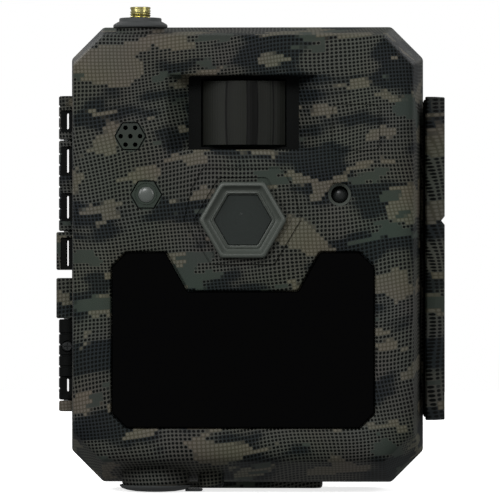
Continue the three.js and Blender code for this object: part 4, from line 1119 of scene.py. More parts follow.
class TRAIL_OT_sensors(Piece):
    """The light sensor's clear lens, the status lamp and the microphone"""

    bl_idname = "trail.sensors"
    bl_label = "Light sensor, status lamp and microphone"

    def build(self):
        face = L.face
        dome = [(0.01, -4.4), (2.4, -4.4), (2.4, 0.0), (2.2, 0.18), (1.7, 0.36), (1.0, 0.48), (0.01, 0.52)]
        at = L.light_sensor
        delivered(made("light_sensor_lens", turned_y(dome, at.x, face, at.z, 32), clear_glass()),
                  "light_sensor_lens")
        at = L.status
        front = L.low("status_led").y
        lamp = [(0.01, -6.1), (2.9, -6.1), (2.9, -5.3), (2.45, -5.2), (2.45, -1.4), (2.1, -0.7), (1.4, -0.2),
                (0.7, -0.03), (0.01, 0)]
        delivered(made("status_led", turned_y(lamp, at.x, front, at.z, 32),
                       glassy("status lens", (0.022, 0.025, 0.024), 0.3, specular=0.4)), "status_led")
        at = L.mic
        low, high = L.low("microphone").y, L.high("microphone").y
        can = [(0.01, 0), (3.9, 0), (4.2, 0.3), (4.2, high - low - 0.3), (3.9, high - low),
               (0.01, high - low)]
        delivered(made("microphone", turned_y(can, at.x, high, at.z, 32), dark_plastic()), "microphone")
        low, high = L.low("pir_sensor"), L.high("pir_sensor")
        tall = high.y - low.y
        can = [(0.01, 0), (2.2, 0), (2.2, tall - 4.9), (5.2, tall - 4.8), (5.2, tall - 4.3),
               (4.7, tall - 4.2), (4.6, tall - 0.8), (4.3, tall - 0.4), (2.1, tall - 0.35),
               (2.0, tall - 0.6), (0.01, tall - 0.6)]
        delivered(made("pir_sensor", turned_y(can, 0, high.y, L.pir.z, 32), steel()), "pir_sensor")


# ---------------------------------------------------------------- geometry node groups
def node_group(name, sockets):
    """A geometry group with named inputs and one geometry output."""
    tree = bpy.data.node_groups.new(name, "GeometryNodeTree")
    tree.interface.new_socket("Geometry", in_out="OUTPUT", socket_type="NodeSocketGeometry")
    for label, kind in sockets:
        tree.interface.new_socket(label, in_out="INPUT", socket_type="NodeSocket" + kind)
    source = tree.nodes.new("NodeGroupInput")
    return tree, source.outputs


def closed_group(tree, geometry, finish):
    """Ends a group: instances made real, then the finish set."""
    real = add(tree, "GeometryNodeRealizeInstances", {"Geometry": geometry})
    dressed = add(tree, "GeometryNodeSetMaterial", {"Geometry": real.outputs[0], "Material": finish})
    end = tree.nodes.new("NodeGroupOutput")
    tree.links.new(dressed.outputs[0], end.inputs[0])
    return tree


def grown_by(name, tree, values):
    """What a geometry group makes from its inputs, as a plain mesh object."""
    piece = link(bpy.data.objects.new(name, bpy.data.meshes.new(name)))
    step = piece.modifiers.new(tree.name, "NODES")
    step.node_group = tree
    ids = {item.name: item.identifier for item in tree.interface.items_tree if item.in_out == "INPUT"}
    for label, value in values.items():
        step[ids[label]] = value
    return settled(piece)


def lamp_field():
    """Lamps on a grid, left out where the window has its notch."""
    tree, given = node_group("Lamp field", [
        ("Lamp", "Object"), ("Columns", "Int"), ("Rows", "Int"), ("Pitch", "Float"), ("Corner", "Vector"),
        ("Notch height", "Float"), ("Notch middle", "Float"), ("Notch half", "Float"), ("Finish", "Material"),
    ])
    total = math_node(tree, "MULTIPLY", given["Columns"], given["Rows"])
    index = add(tree, "GeometryNodeInputIndex").outputs[0]
    column_at = math_node(tree, "FLOORED_MODULO", index, given["Columns"])
    row_at = math_node(tree, "FLOOR", math_node(tree, "DIVIDE", index, given["Columns"]))
    spot = add(tree, "ShaderNodeCombineXYZ", {
        "X": math_node(tree, "MULTIPLY", column_at, given["Pitch"]),
        "Z": math_node(tree, "MULTIPLY", row_at, given["Pitch"]),
    }).outputs[0]
    spot = vector_node(tree, "ADD", spot, given["Corner"])
    points = add(tree, "GeometryNodePoints", {"Count": total, "Position": spot}).outputs[0]
    parts = add(tree, "ShaderNodeSeparateXYZ", {"Vector": add(tree, "GeometryNodeInputPosition").outputs[0]})
    offset = math_node(tree, "SUBTRACT", parts.outputs["X"], given["Notch middle"])
    aside = math_node(tree, "ABSOLUTE", offset)
    high = math_node(tree, "GREATER_THAN", parts.outputs["Z"], given["Notch height"])
    near = math_node(tree, "LESS_THAN", aside, given["Notch half"])
    gone = math_node(tree, "MULTIPLY", high, near)
    kept = add(tree, "GeometryNodeDeleteGeometry", {"Geometry": points, "Selection": gone}, domain="POINT")
    lamp = add(tree, "GeometryNodeObjectInfo", {"Object": given["Lamp"]}).outputs["Geometry"]
    placed = add(tree, "GeometryNodeInstanceOnPoints", {"Points": kept.outputs[0], "Instance": lamp})
    return closed_group(tree, placed.outputs[0], given["Finish"])


def coil():
    """A wire wound up an axis, wide at its foot and narrow at its tip."""
    tree, given = node_group("Coil", [
        ("Start", "Vector"), ("Turns", "Float"), ("Foot radius", "Float"), ("Tip radius", "Float"),
        ("Height", "Float"), ("Wire radius", "Float"), ("Wire sides", "Int"), ("Count", "Int"),
        ("Pitch", "Float"), ("Steps", "Int"), ("Finish", "Material"),
    ])
    spiral = add(tree, "GeometryNodeCurveSpiral", {
        "Resolution": given["Steps"], "Rotations": given["Turns"], "Start Radius": given["Foot radius"],
        "End Radius": given["Tip radius"], "Height": given["Height"],
    })
    section = add(tree, "GeometryNodeCurvePrimitiveCircle", {
        "Resolution": given["Wire sides"], "Radius": given["Wire radius"],
    })
    wire = add(tree, "GeometryNodeCurveToMesh", {
        "Curve": spiral.outputs[0], "Profile Curve": section.outputs[0], "Fill Caps": True,
    })
    index = add(tree, "GeometryNodeInputIndex").outputs[0]
    along = math_node(tree, "MULTIPLY", index, given["Pitch"])
    spot = add(tree, "ShaderNodeCombineXYZ", {"X": along}).outputs[0]
    spot = vector_node(tree, "ADD", spot, given["Start"])
    points = add(tree, "GeometryNodePoints", {"Count": given["Count"], "Position": spot}).outputs[0]
    placed = add(tree, "GeometryNodeInstanceOnPoints", {"Points": points, "Instance": wire.outputs[0]})
    return closed_group(tree, placed.outputs[0], given["Finish"])


def cell_rows():
    """Cells in columns and rows, every second column upside down."""
    tree, given = node_group("Cell rows", [
        ("Cell", "Object"), ("Columns", "Int"), ("Rows", "Int"), ("Pitch", "Float"), ("Row pitch", "Float"),
        ("Corner", "Vector"), ("Drop", "Float"), ("Length", "Float"), ("Finish", "Material"),
    ])
    total = math_node(tree, "MULTIPLY", given["Columns"], given["Rows"])
    index = add(tree, "GeometryNodeInputIndex").outputs[0]
    column_at = math_node(tree, "FLOORED_MODULO", index, given["Columns"])
    row_at = math_node(tree, "FLOOR", math_node(tree, "DIVIDE", index, given["Columns"]))
    odd = math_node(tree, "FLOORED_MODULO", column_at, 2.0)
    height = math_node(tree, "MULTIPLY", row_at, given["Row pitch"])
    shift = math_node(tree, "MULTIPLY", odd, math_node(tree, "SUBTRACT", given["Length"], given["Drop"]))
    spot = add(tree, "ShaderNodeCombineXYZ", {
        "X": math_node(tree, "MULTIPLY", column_at, given["Pitch"]),
        "Z": math_node(tree, "ADD", height, shift),
    }).outputs[0]
    spot = vector_node(tree, "ADD", spot, given["Corner"])
    points = add(tree, "GeometryNodePoints", {"Count": total, "Position": spot}).outputs[0]
    cell = add(tree, "GeometryNodeObjectInfo", {"Object": given["Cell"]}).outputs["Geometry"]
    turn = add(tree, "ShaderNodeCombineXYZ", {"X": math_node(tree, "MULTIPLY", odd, math.pi)}).outputs[0]
    placed = add(tree, "GeometryNodeInstanceOnPoints", {"Points": points, "Instance": cell, "Rotation": turn})
    real = add(tree, "GeometryNodeRealizeInstances", {"Geometry": placed.outputs[0]})
    end = tree.nodes.new("NodeGroupOutput")
    sides = add(tree, "GeometryNodeSetMaterial", {"Geometry": real.outputs[0], "Material": given["Finish"]})
    tree.links.new(sides.outputs[0], end.inputs[0])
    return tree


# ---------------------------------------------------------------- latch
def slab_x(points, x0, x1, edge=0.0):
    """An outline in y and z carried along x; its print runs over y and z."""
    rings = [at_x(points, x0), at_x(points, x1)]
    if edge:
        inner = grown(points, -edge)
        rings = [at_x(inner, x0), at_x(points, x0 + edge), at_x(points, x1 - edge), at_x(inner, x1)]
    return loft(rings, [[(y, z) for _, y, z in ring] for ring in rings])


def latch_span():
    return L.low("latch_lever").z, L.high("latch_lever").z


def lug_spans(grow=0.0):
    low, high = latch_span()
    starts = (low + 8, (low + high) / 2 - 2.5, high - 13)
    return [(z - grow, z + 5 + grow) for z in starts]


class TRAIL_OT_latch(Piece):
    """The long side latch: a lever with a creased flank and a nose that closes over the seam"""

    bl_idname = "trail.latch"
    bl_label = "Side latch"

    def build(self):
        pivot_x, pivot_y = L.latch.x, L.latch.y
        inner, outer, front = L.half + 0.7, L.half + 6.7, pivot_y - 29
        low, high = latch_span()
        section = [
            (outer - 1.4, pivot_y + 2.6), (pivot_x, pivot_y + 3), (pivot_x - 1, pivot_y - 3),
            (inner + 2.6, pivot_y - 4.4), (inner + 2.6, front + 5), (inner, front + 3.6),
            (inner, front + 0.8), (inner + 0.6, front), (outer - 2.9, front + 0.6), (outer, front + 5.5),
            (outer, pivot_y),
        ]
        section = rounded(section, 0.3, 2)
        rings, prints = [], []
        for z, inset in ((low, 0.25), (low + 0.25, 0), (high - 0.25, 0), (high, 0.25)):
            points = grown(section, -inset)
            walk, mark = 0.0, []
            for i, point in enumerate(points):
                walk += (Vector(point) - Vector(points[i - 1])).length if i else 0
                mark.append((walk / 3 - L.half, z))
            rings.append(at_z(points, z))
            prints.append(mark)
        lever = made("latch_lever", loft(rings, prints), film())
        grafted(lever, [turned_z([(2.7, low + 0.1), (3, low + 0.4), (3, high - 0.4), (2.7, high - 0.1)],
                                 pivot_x, pivot_y, 0, 28)])
        notch_z = high - 38
        cutters = [block((L.half - 4, pivot_y - 5.5, a), (outer + 1, pivot_y + 9, b))
                   for a, b in lug_spans(0.35)]
        notch = rounded([(outer + 1, notch_z - 2.6), (outer + 1, notch_z + 2.6), (outer - 1.1, notch_z)], 0.3)
        cutters.append(slab(notch, front - 1, pivot_y + 9))
        cutters.append(column(circle(1.32, pivot_x, pivot_y, 16), low - 1, high + 1))
        for index in range(9):
            z = low + 42 + index * 1.6
            cutters.append(block((outer - 0.35, pivot_y - 17, z), (outer + 1, pivot_y - 5, z + 0.7)))
        carved(lever, [(cutter, film()) for cutter in cutters])
        delivered(lever, "latch_lever")


# ---------------------------------------------------------------- ports
class TRAIL_OT_antenna_port(Piece):
    """The gilt antenna connector with its thread, and the black washer under it"""

    bl_idname = "trail.antenna_port"
    bl_label = "Antenna port"

    def build(self):
        x, y = L.antenna.x, L.antenna.y
        foot, top = L.low("sma_connector").z, L.high("sma_connector").z
        seat = L.height - 1.2
        core = [(0.01, foot), (1.6, foot), (1.6, foot + 3.5), (4.1, foot + 3.6), (4.1, foot + 5.4),
                (2.86, foot + 5.6), (2.86, top - 0.75), (3.1, top - 0.6), (3.1, top - 0.1), (2.95, top),
                (2.45, top), (2.3, top - 0.15), (2.3, top - 3), (0.01, top - 3)]
        body = made("sma_connector", turned_z(core, x, y, 0, 40), brass())
        delivered(body, "sma_connector")
        field = setting("field")
        rise = top - 0.9 - (seat - 6)
        turns = rise * MM / field.thread_pitch
        thread = grown_by("sma_thread", coil(), {
            "Start": L.metres(x, y, seat - 6), "Turns": turns, "Foot radius": 2.9 * MM,
            "Tip radius": 2.9 * MM, "Height": rise * MM, "Wire radius": 0.3 * MM, "Wire sides": 4,
            "Count": 1, "Pitch": 0.0, "Steps": 420, "Finish": brass(),
        })
        companion(thread, "sma_connector")
        seal = made("sma_insulator", turned_z([(0.7, top - 3.1), (2.25, top - 3.1), (2.25, top - 1.4),
                                               (1.9, top - 1.2), (0.7, top - 1.2)], x, y, 0, 24),
                    moulded("insulator", (0.6, 0.6, 0.56), 0.5))
        companion(seal, "sma_connector")
        pin = made("sma_pin", turned_z([(0.01, top - 3.2), (0.5, top - 3.2), (0.5, top - 1), (0.3, top - 0.8),
                                        (0.01, top - 0.75)], x, y, 0, 16), gold())
        companion(pin, "sma_connector")
        z = seat + 0.05
        ring = [(3.25, 0), (8.0, 0), (8.3, 0.25), (8.35, 0.7), (8.1, 1.15), (7.3, 1.6), (6.9, 1.85),
                (6.6, 1.9), (6.5, 2.1), (6.5, 2.75), (6.3, 3.05), (6.0, 3.1), (4.3, 3.1),
                (4.1, 2.9), (3.25, 2.9)]
        washer = made("sma_washer", loft([at_z(circle(r, x, y, 48), z + h) for r, h in ring], closed=True),
                      rubber())
        delivered(washer, "sma_washer")


class TRAIL_OT_power_inlet(Piece):
    """The power inlet under the case and the rubber plug that hangs on its strap"""

    bl_idname = "trail.power_inlet"
    bl_label = "Power inlet and plug"

    def build(self):
        x, y = L.inlet.x, L.inlet.y
        low, high = L.low("dc_jack").z, L.high("dc_jack").z
        cup = [(0.01, high), (5.7, high), (5.7, low + 0.3), (5.4, low), (3.3, low), (3, low + 0.3),
               (3, high - 3), (1, high - 3), (1, low + 2), (0.8, low + 1.6), (0.01, low + 1.5)]
        delivered(made("dc_jack", turned_z(cup, x, y, 0, 40), dark_plastic()), "dc_jack")
        top = -1.25
        disc = [(0.01, -2.2), (3.9, -2.16), (6.5, -1.98), (8.8, -1.6), (10.3, -1.05), (11.0, -0.4),
                (11.1, -0.1), (10.8, 0.0), (10.55, -0.2), (9.4, -0.9), (7.5, top), (4.4, top),
                (4.4, 0.2), (4.6, 0.35), (4.4, 0.6), (4.3, 1), (3.9, 1.15), (0.01, 1.15)]
        strap = rounded([(x + 9.2, y - 2.4), (x + 13.9, y - 2.4), (x + 13.9, y + 2.4),
                         (x + 9.2, y + 2.4)], 0.3)
        plug = made("dc_plug", [
            turned_z(disc, x, y, 0, 56),
            column(strap, top - 0.8, top, 0.15),
            loft([at_y(circle(0.4, x + 14, top - 0.4, 12), y - 2.4),
                  at_y(circle(0.4, x + 14, top - 0.4, 12), y + 2.4)]),
        ], rubber())
        delivered(plug, "dc_plug")


# ---------------------------------------------------------------- rear housing
def ear_outline():
    middle, half = L.height / 2, 48.0
    out = L.back + L.standoff
    count = setting("field").tooth_count
    points = [(L.back - 1, middle - half), (out - 2, middle - half + 10), (out, middle - half + 13)]
    for start in (middle - 30, middle + 16):
        for i in range(count):
            z = start + i * 5
            points += [(out, z), (out - 1.8, z + 2), (out, z + 4)]
    return points + [(out, middle + half - 13), (out - 2, middle + half - 10), (L.back - 1, middle + half)]


class TRAIL_OT_rear_housing(Piece):
    """The rear housing: battery bay, gasket groove, tree ears, foot, hinge knuckles and latch lugs"""

    bl_idname = "trail.rear_housing"
    bl_label = "Rear housing"

    def build(self):
        back, front = L.back, L.seam_gap
        dark = dark_plastic()
        rings = [(front, 0.3, 0.3, 0.3, 9.8), (front + 0.3, 0, 0, 0, 9.8), (front + 11, 1, 1, 1, 9.6)]
        rings += shoulder((3, 3, 3, 9), (6, 6, 6, 8.4), back - 2.5, back)
        case = made("rear_housing", case_loft(rings, back), film())
        middle = L.height / 2
        foot_y, foot_depth = L.tripod.y, 17.0
        foot = rounded([(-23, foot_y - foot_depth / 2), (23, foot_y - foot_depth / 2),
                        (23, foot_y + foot_depth / 2), (-23, foot_y + foot_depth / 2)], 3, 4)
        added = [column(foot, -2.2, 4, 0.35)]
        for side in (-1, 1):
            added.append(slab_x(ear_outline(), side * 27 - 2.3, side * 27 + 2.3, 0.35))
        for low, high in lug_spans():
            added.append(block((L.half - 3.5, L.latch.y - 2.6, low), (L.latch.x, L.latch.y + 2.6, high), 0.2))
            added.append(turned_z([(2.7, low), (3, low + 0.3), (3, high - 0.3), (2.7, high)],
                                  L.latch.x, L.latch.y, 0, 28))
        span = latch_span()
        lip = block((L.half - 2, 6, span[0] + 1), (L.half + 1.9, 7.2, span[1] - 1), 0.2)
        grafted(case, added + [(lip, dark)])
        floor_y = back - 2.5
        inner = [(floor_y, 8.5, 8.5, 8.5, 7.4), (front + 11, 3.5, 3.5, 3.5, 8.6), (5.5, 2.7, 2.7, 2.7, 8.8)]
        cavity = loft([at_y(case_outline(*insets), y) for y, *insets in inner])
        carved(case, [(cavity, dark), (slab(case_outline(7, 7, 7, 6.86, 1.0), -0.5, 6.5), dark)])
        grafted(case, [(slab(rounded(rectangle(-47.7, 47.7, 14.4, 126.6), 1.2), 4.7, back - 1), dark),
                       (block((-8, foot_y - 7, 0.5), (8, foot_y + 7, 15)), dark)])
        carved(case, [(slab(rounded(rectangle(-46.1, 46.1, 16, 125), 0.8), -2.1, floor_y), dark)])
        ribs = [block(((i - 2) * 15.2 - 0.4, floor_y - 2.6, 24),
                      ((i - 2) * 15.2 + 0.4, floor_y + 1, 117), 0.15)
                for i in range(5)]
        grafted(case, [(rib, dark) for rib in ribs])
        seat = case_outline(4.15, 4.15, 4.15, 8.06, 1.2)
        gutter = loft([at_y(grown(seat, 1.05), -1), at_y(grown(seat, 1.05), 2.8),
                       at_y(grown(seat, -1.05), 2.8), at_y(grown(seat, -1.05), -1)], closed=True)
        strap = rounded([(back + 4.2, middle - 14), (back + 9.2, middle - 14),
                         (back + 9.2, middle + 14), (back + 4.2, middle + 14)], 1.5, 4)
        cutters = [(gutter, dark), (block((-6.6, 1, L.height - 8), (6.6, 3.1, L.height - 4.6)), dark),
                   slab_x(strap, -40, 40)]
        for side in (-1, 1):
            cutters.append(slab_x(circle(4.5, back + 6.4, middle + side * 34), -40, 40))
        panel = rounded(rectangle(-20, 20, middle - 40, middle + 40), 3, 4)
        wide = grown(panel, 0.6)
        cutters.append(loft([at_y(wide, back + 1), at_y(wide, back), at_y(panel, back - 0.6)]))
        cutters.append((column(circle(4.66, 0, foot_y, 40), -4, 7.9), dark))
        cutters.append(column(circle(1.25, L.latch.x, L.latch.y, 16), *latch_span()))
        screw = L.centre("hinge_screw")
        cutters.append((slab(circle(1.85, L.hinge.x, screw.z, 24), L.hinge.y - 4, L.hinge.y - 1.3), dark))
        cutters.append((slab(circle(0.95, L.hinge.x, screw.z, 16), L.hinge.y - 2, L.hinge.y + 2.2), dark))
        add_knuckles(case, False, front, L.hinge.y + 2.4)
        carved(case, cutters)
        grip = [block((-18, back - 0.65, middle - 36 + i * 9), (18, back - 0.05, middle - 34.6 + i * 9), 0.12)
                for i in range(9)]
        grafted(case, grip)
        delivered(case, "rear_housing")
        gasket = loft([at_y(grown(seat, 0.88), 0.4), at_y(grown(seat, 0.88), 2.6),
                       at_y(grown(seat, -0.88), 2.6), at_y(grown(seat, -0.88), 0.4),
                       at_y(grown(seat, -0.4), 0.2), at_y(grown(seat, 0.4), 0.2)],
                      closed=True)
        delivered(made("rear_gasket", gasket, rubber()), "rear_gasket")


# ---------------------------------------------------------------- inside of the door
def screw_shapes(x, z, head_y, head_radius, shank_radius, tip_y, way):
    """A pan head and shank; way is +1 where the head looks along +Y."""
    profile = [(0.01, 0.0), (head_radius * 0.75, 0.0), (head_radius * 0.95, 0.25), (head_radius, 0.55),
               (head_radius, 1.25), (shank_radius, 1.3)]
    run, last = 1.8, abs(tip_y - head_y)
    while run < last - 1.2:
        profile += [(shank_radius, run), (shank_radius * 0.8, run + 0.25), (shank_radius, run + 0.5)]
        run += 0.8
    profile += [(shank_radius * 0.6, last - 0.5), (0.01, last)]
    return loft([at_y(circle(r, x, z, 24), head_y - way * h) for r, h in profile])


def driven_screw(node, head_radius, shank_radius, way, finish=None):
    at, low, high = L.centre(node), L.low(node), L.high(node)
    head, tip = (high.y, low.y) if way > 0 else (low.y, high.y)
    screw = made(node, screw_shapes(at.x, at.z, head, head_radius, shank_radius, tip, way), finish or steel())
    arm, width, deep = head_radius * 0.6, head_radius * 0.11, 0.6
    y0, y1 = sorted((head + way, head - way * deep))
    carved(screw, [block((at.x - arm, y0, at.z - width), (at.x + arm, y1, at.z + width)),
                   block((at.x - width, y0, at.z - arm), (at.x + width, y1, at.z + arm))])
    return delivered(screw, node)


class TRAIL_OT_panel(Piece):
    """The control panel inside the cover, with its markings, display and screws"""

    bl_idname = "trail.panel"
    bl_label = "Control panel and display"

    def build(self):
        front, back = -0.5, -2.5
        sd_low, sd_high = L.low("sd_card"), L.high("sd_card")
        sim_low, sim_high = L.low("sim_card"), L.high("sim_card")
        x0, x1, z0, z1, depth = sim_low.x - 2.2, sd_high.x + 0.8, 12.0, 32.0, 10.6
        plate = made("inner_panel", slab(case_outline(7.3, 7.3, 7.3, 6.7, 1.4), back, front, 0.3),
                     grey_plastic())
        grafted(plate, [block((x0 - 1.4, -depth - 1.2, z0 - 1.4), (x1 + 1.4, back + 0.2, z1 + 1.4)),
                        slab(rounded_box(56, 45, 2, 0, L.height - 45), back + 0.5, front + 0.12, 0.1)])
        screen = rounded_box(46, 35, 0.8, 0, L.height - 45)
        cutters = [block((x0, -depth, z0), (x1, 1, z1)),
                   loft([at_y(screen, -9), at_y(screen, front - 0.5), at_y(grown(screen, 1.6), front + 1)])]
        for node in ("key_ok", "key_up", "key_down", "key_left", "key_right"):
            at = L.centre(node)
            cutters.append(loft([at_y(circle(r, at.x, at.z, 40), y) for r, y in
                                 ((4.4, -9), (4.4, front - 0.4), (4.9, front - 0.1), (5.4, front + 0.2))]))
        at = L.centre("power_switch")
        cutters.append(slab(rounded_box(12.8, 4.4, 1, 22, at.z), -9, 1))
        for low, high in ((sd_low, sd_high), (sim_low, sim_high)):
            cutters.append(block((low.x - 0.4, low.y - 0.4, z1 - 1), (high.x + 0.4, high.y + 0.4, z1 + 4)))
        for index in range(1, 5):
            at = L.centre(f"panel_screw_{index}")
            cutters.append(slab(circle(1.5, at.x, at.z), -9, 1))
            cutters.append(slab(circle(2.8, at.x, at.z), front - 1.2, 1))
        carved(plate, cutters)
        delivered(plate, "inner_panel")
        marks = []
        ink_y = (front - 0.02, front + 0.05)
        for node, (dx, dz) in (("key_up", (0, 7.4)), ("key_down", (0, -7.4)), ("key_left", (-7.4, 0)),
                               ("key_right", (7.4, 0))):
            at = L.centre(node)
            tip = Vector((dx, dz)).normalized()
            side = Vector((-tip.y, tip.x))
            base = Vector((at.x + dx, at.z + dz))
            marks.append(slab([tuple(base + tip * 1.1), tuple(base + side * 1.2 - tip * 0.8),
                               tuple(base - side * 1.2 - tip * 0.8)], *ink_y))
        for i, size in enumerate((0.5, 0.9, 1.3)):
            marks.append(slab(circle(size, 22 + (i - 1) * 4.5, 66.5, 24), *ink_y))
        for cx, wide in ((25.6, 22), (6.2, 10)):
            marks.append(slab(rectangle(cx - wide / 2, cx + wide / 2, 34.0, 34.4), *ink_y))
            marks.append(slab([(cx, 37.4), (cx - 1.4, 35.4), (cx + 1.4, 35.4)], *ink_y))
        ink = made("panel_marks", marks, white_ink())
        companion(ink, "inner_panel")
        glass_low, glass_high = L.low("lcd_panel"), L.high("lcd_panel")
        panel = made("lcd_panel", [
            slab(rounded_box(52, 41, 0.8, 0, L.height - 45), glass_low.y, glass_high.y - 1.1, 0.15),
            slab(rounded_box(45.4, 34.4, 0.5, 0, L.height - 45), glass_high.y - 1.2, glass_high.y, 0.12),
        ], glassy("display glass", (0.004, 0.005, 0.006), 0.06, specular=0.5))
        delivered(panel, "lcd_panel")
        for index in range(1, 5):
            driven_screw(f"panel_screw_{index}", 2.6, 1.2, 1)


class TRAIL_OT_controls(Piece):
    """The five keys and the power switch"""

    bl_idname = "trail.controls"
    bl_label = "Keys and switch"

    def build(self):
        for node in ("key_ok", "key_up", "key_down", "key_left", "key_right"):
            at, low, high = L.centre(node), L.low(node), L.high(node)
            profile = [(0.01, low.y), (1.5, low.y), (1.5, -3.6), (4.85, -3.55), (4.85, -2.75), (4.0, -2.7),
                       (4.0, high.y - 0.5), (3.85, high.y - 0.2), (3.5, high.y), (2.9, high.y - 0.12),
                       (1.5, high.y - 0.32), (0.01, high.y - 0.38)]
            key = made(node, loft([at_y(circle(r, at.x, at.z, 40), y) for r, y in profile]), key_grey())
            delivered(key, node)
        low, high, at = L.low("power_switch"), L.high("power_switch"), L.centre("power_switch")
        shapes = [slab(rounded_box(17, 7.2, 0.6, 22, at.z), low.y, low.y + 1.3, 0.15)]
        knob = rounded_box(6, 3.6, 0.6, 22, at.z)
        shapes.append(slab(knob, low.y + 1, high.y - 0.5, 0.12))
        for i in range(5):
            x = 22 - 2.4 + i * 1.2
            shapes.append(block((x - 0.3, high.y - 0.7, at.z - 1.7), (x + 0.3, high.y, at.z + 1.7), 0.15))
        delivered(made("power_switch", shapes, dark_plastic()), "power_switch")


class TRAIL_OT_cards(Piece):
    """The memory card and the phone card with their labels and contacts"""

    bl_idname = "trail.cards"
    bl_label = "Cards"

    def build(self):
        for node, corner, finish in (("sd_card", 3.0, dark_plastic()), ("sim_card", 2.0, white_ink())):
            low, high = L.low(node), L.high(node)
            outline = rounded([(low.x, low.z), (high.x, low.z), (high.x, high.z - corner),
                               (high.x - corner, high.z), (low.x, high.z)], 0.5)
            card = made(node, slab(outline, low.y + 0.03, high.y - 0.03, 0.12), finish)
            count = 8 if node == "sd_card" else 4
            wide = (high.x - low.x - 2.4) / count
            cutters = []
            for i in range(count):
                x = low.x + 1.2 + i * wide
                cutters.append((block((x + 0.2, low.y - 1, high.z - 5.2),
                                      (x + wide - 0.2, low.y + 0.12, high.z - 1.6)), gold()))
            for i in range(4):
                z = low.z + 0.8 + i * 0.8
                cutters.append((block((low.x + 2, high.y - 0.2, z),
                                      (high.x - 2, high.y + 1, z + 0.35)), finish))
            carved(card, cutters)
            delivered(card, node)


# ---------------------------------------------------------------- batteries
class TRAIL_OT_batteries(Piece):
    """Twelve cells, their contact plates and coil springs"""

    bl_idname = "trail.batteries"
    bl_label = "Batteries and contacts"

    def build(self):
        first = L.low("battery_cell_1")
        length = L.high("battery_cell_1").z - first.z
        pitch = L.centre("battery_cell_3").x - L.centre("battery_cell_1").x
        row = L.low("battery_cell_2").z - first.z
        drop = first.z - L.low("battery_cell_3").z
        corner = L.metres(L.centre("battery_cell_1").x, L.centre("battery_cell_1").y, first.z)
        body = [(0.01, 0.35), (6.2, 0.35), (6.4, 0.1), (7.0, 0.1), (7.25, 0.4), (7.25, length - 1.9),
                (7.1, length - 1.5), (6.5, length - 1.3), (6.2, length - 1.5), (0.01, length - 1.5)]
        ends = [(0.01, 0.0), (4.6, 0.0), (4.8, 0.15), (5.9, 0.2), (6.1, 0.5), (0.01, 0.5)]
        nub = [(0.01, length - 2), (6.0, length - 1.7), (6.0, length - 1.3), (3.4, length - 1.2),
               (2.8, length - 1.1), (2.7, length - 0.3), (2.4, length), (0.01, length)]
        groups = (
            ("battery_cells", [turned_z(body, 0, 0, 0, 40)], sleeve(), "cell_sleeve"),
            ("battery_ends", [turned_z(ends, 0, 0, 0, 32), turned_z(nub, 0, 0, 0, 32)], steel(), "steel"),
        )
        for name, shapes, finish, slot in groups:
            cell = made("cell", shapes, finish)
            cell.data.transform(Matrix.Translation(-L.origin * MM))
            cells = grown_by(name, cell_rows(), {
                "Cell": cell, "Columns": 6, "Rows": 2, "Pitch": pitch * MM, "Row pitch": row * MM,
                "Corner": corner, "Drop": drop * MM, "Length": length * MM, "Finish": finish,
            })
            bpy.data.objects.remove(cell)
            if slot == "cell_sleeve":
                delivered(cells, *(f"battery_cell_{i}" for i in range(1, 13)))
            else:
                companion(cells, "battery_cell_1")
        y = L.centre("battery_cell_1").y
        for node, sign in (("contact_strip_bottom", 1), ("contact_strip_top", -1)):
            low, high = L.low(node), L.high(node)
            z = low.z if sign > 0 else high.z
            plates, start = [], 0 if sign > 0 else 1
            for i in range(6):
                x = (i - 2.5) * pitch
                edge = sorted((z, z + sign * 0.98))
                plates.append(block((x - 7.0, y - 6.2, edge[0]), (x + 7.0, y + 5, edge[1]), 0.1))
                if (i - start) % 2:
                    pad = [(0.01, 0.9), (3, 0.9), (2.6, 2.0), (1.8, 2.15), (0.01, 2.15)]
                    plates.append(loft([at_z(circle(r, x, y, 20), z + sign * h) for r, h in pad]))
            base = sorted((z, z + sign * 0.4))
            plates.append(block((low.x, y - 5, base[0]), (high.x, y + 4, base[1]), 0.05))
            delivered(made(node, plates, steel()), node)
            turns = setting("field").spring_turns
            spring = grown_by(node.replace("contact_strip", "springs"), coil(), {
                "Start": L.metres((start - 2.5) * pitch, y, z + sign * 1.2), "Turns": turns,
                "Foot radius": 4.1 * MM, "Tip radius": 2.2 * MM, "Height": sign * 3.9 * MM,
                "Wire radius": 0.28 * MM, "Wire sides": 6, "Count": 3, "Pitch": 2 * pitch * MM,
                "Steps": 90, "Finish": steel(),
            })
            companion(spring, node)


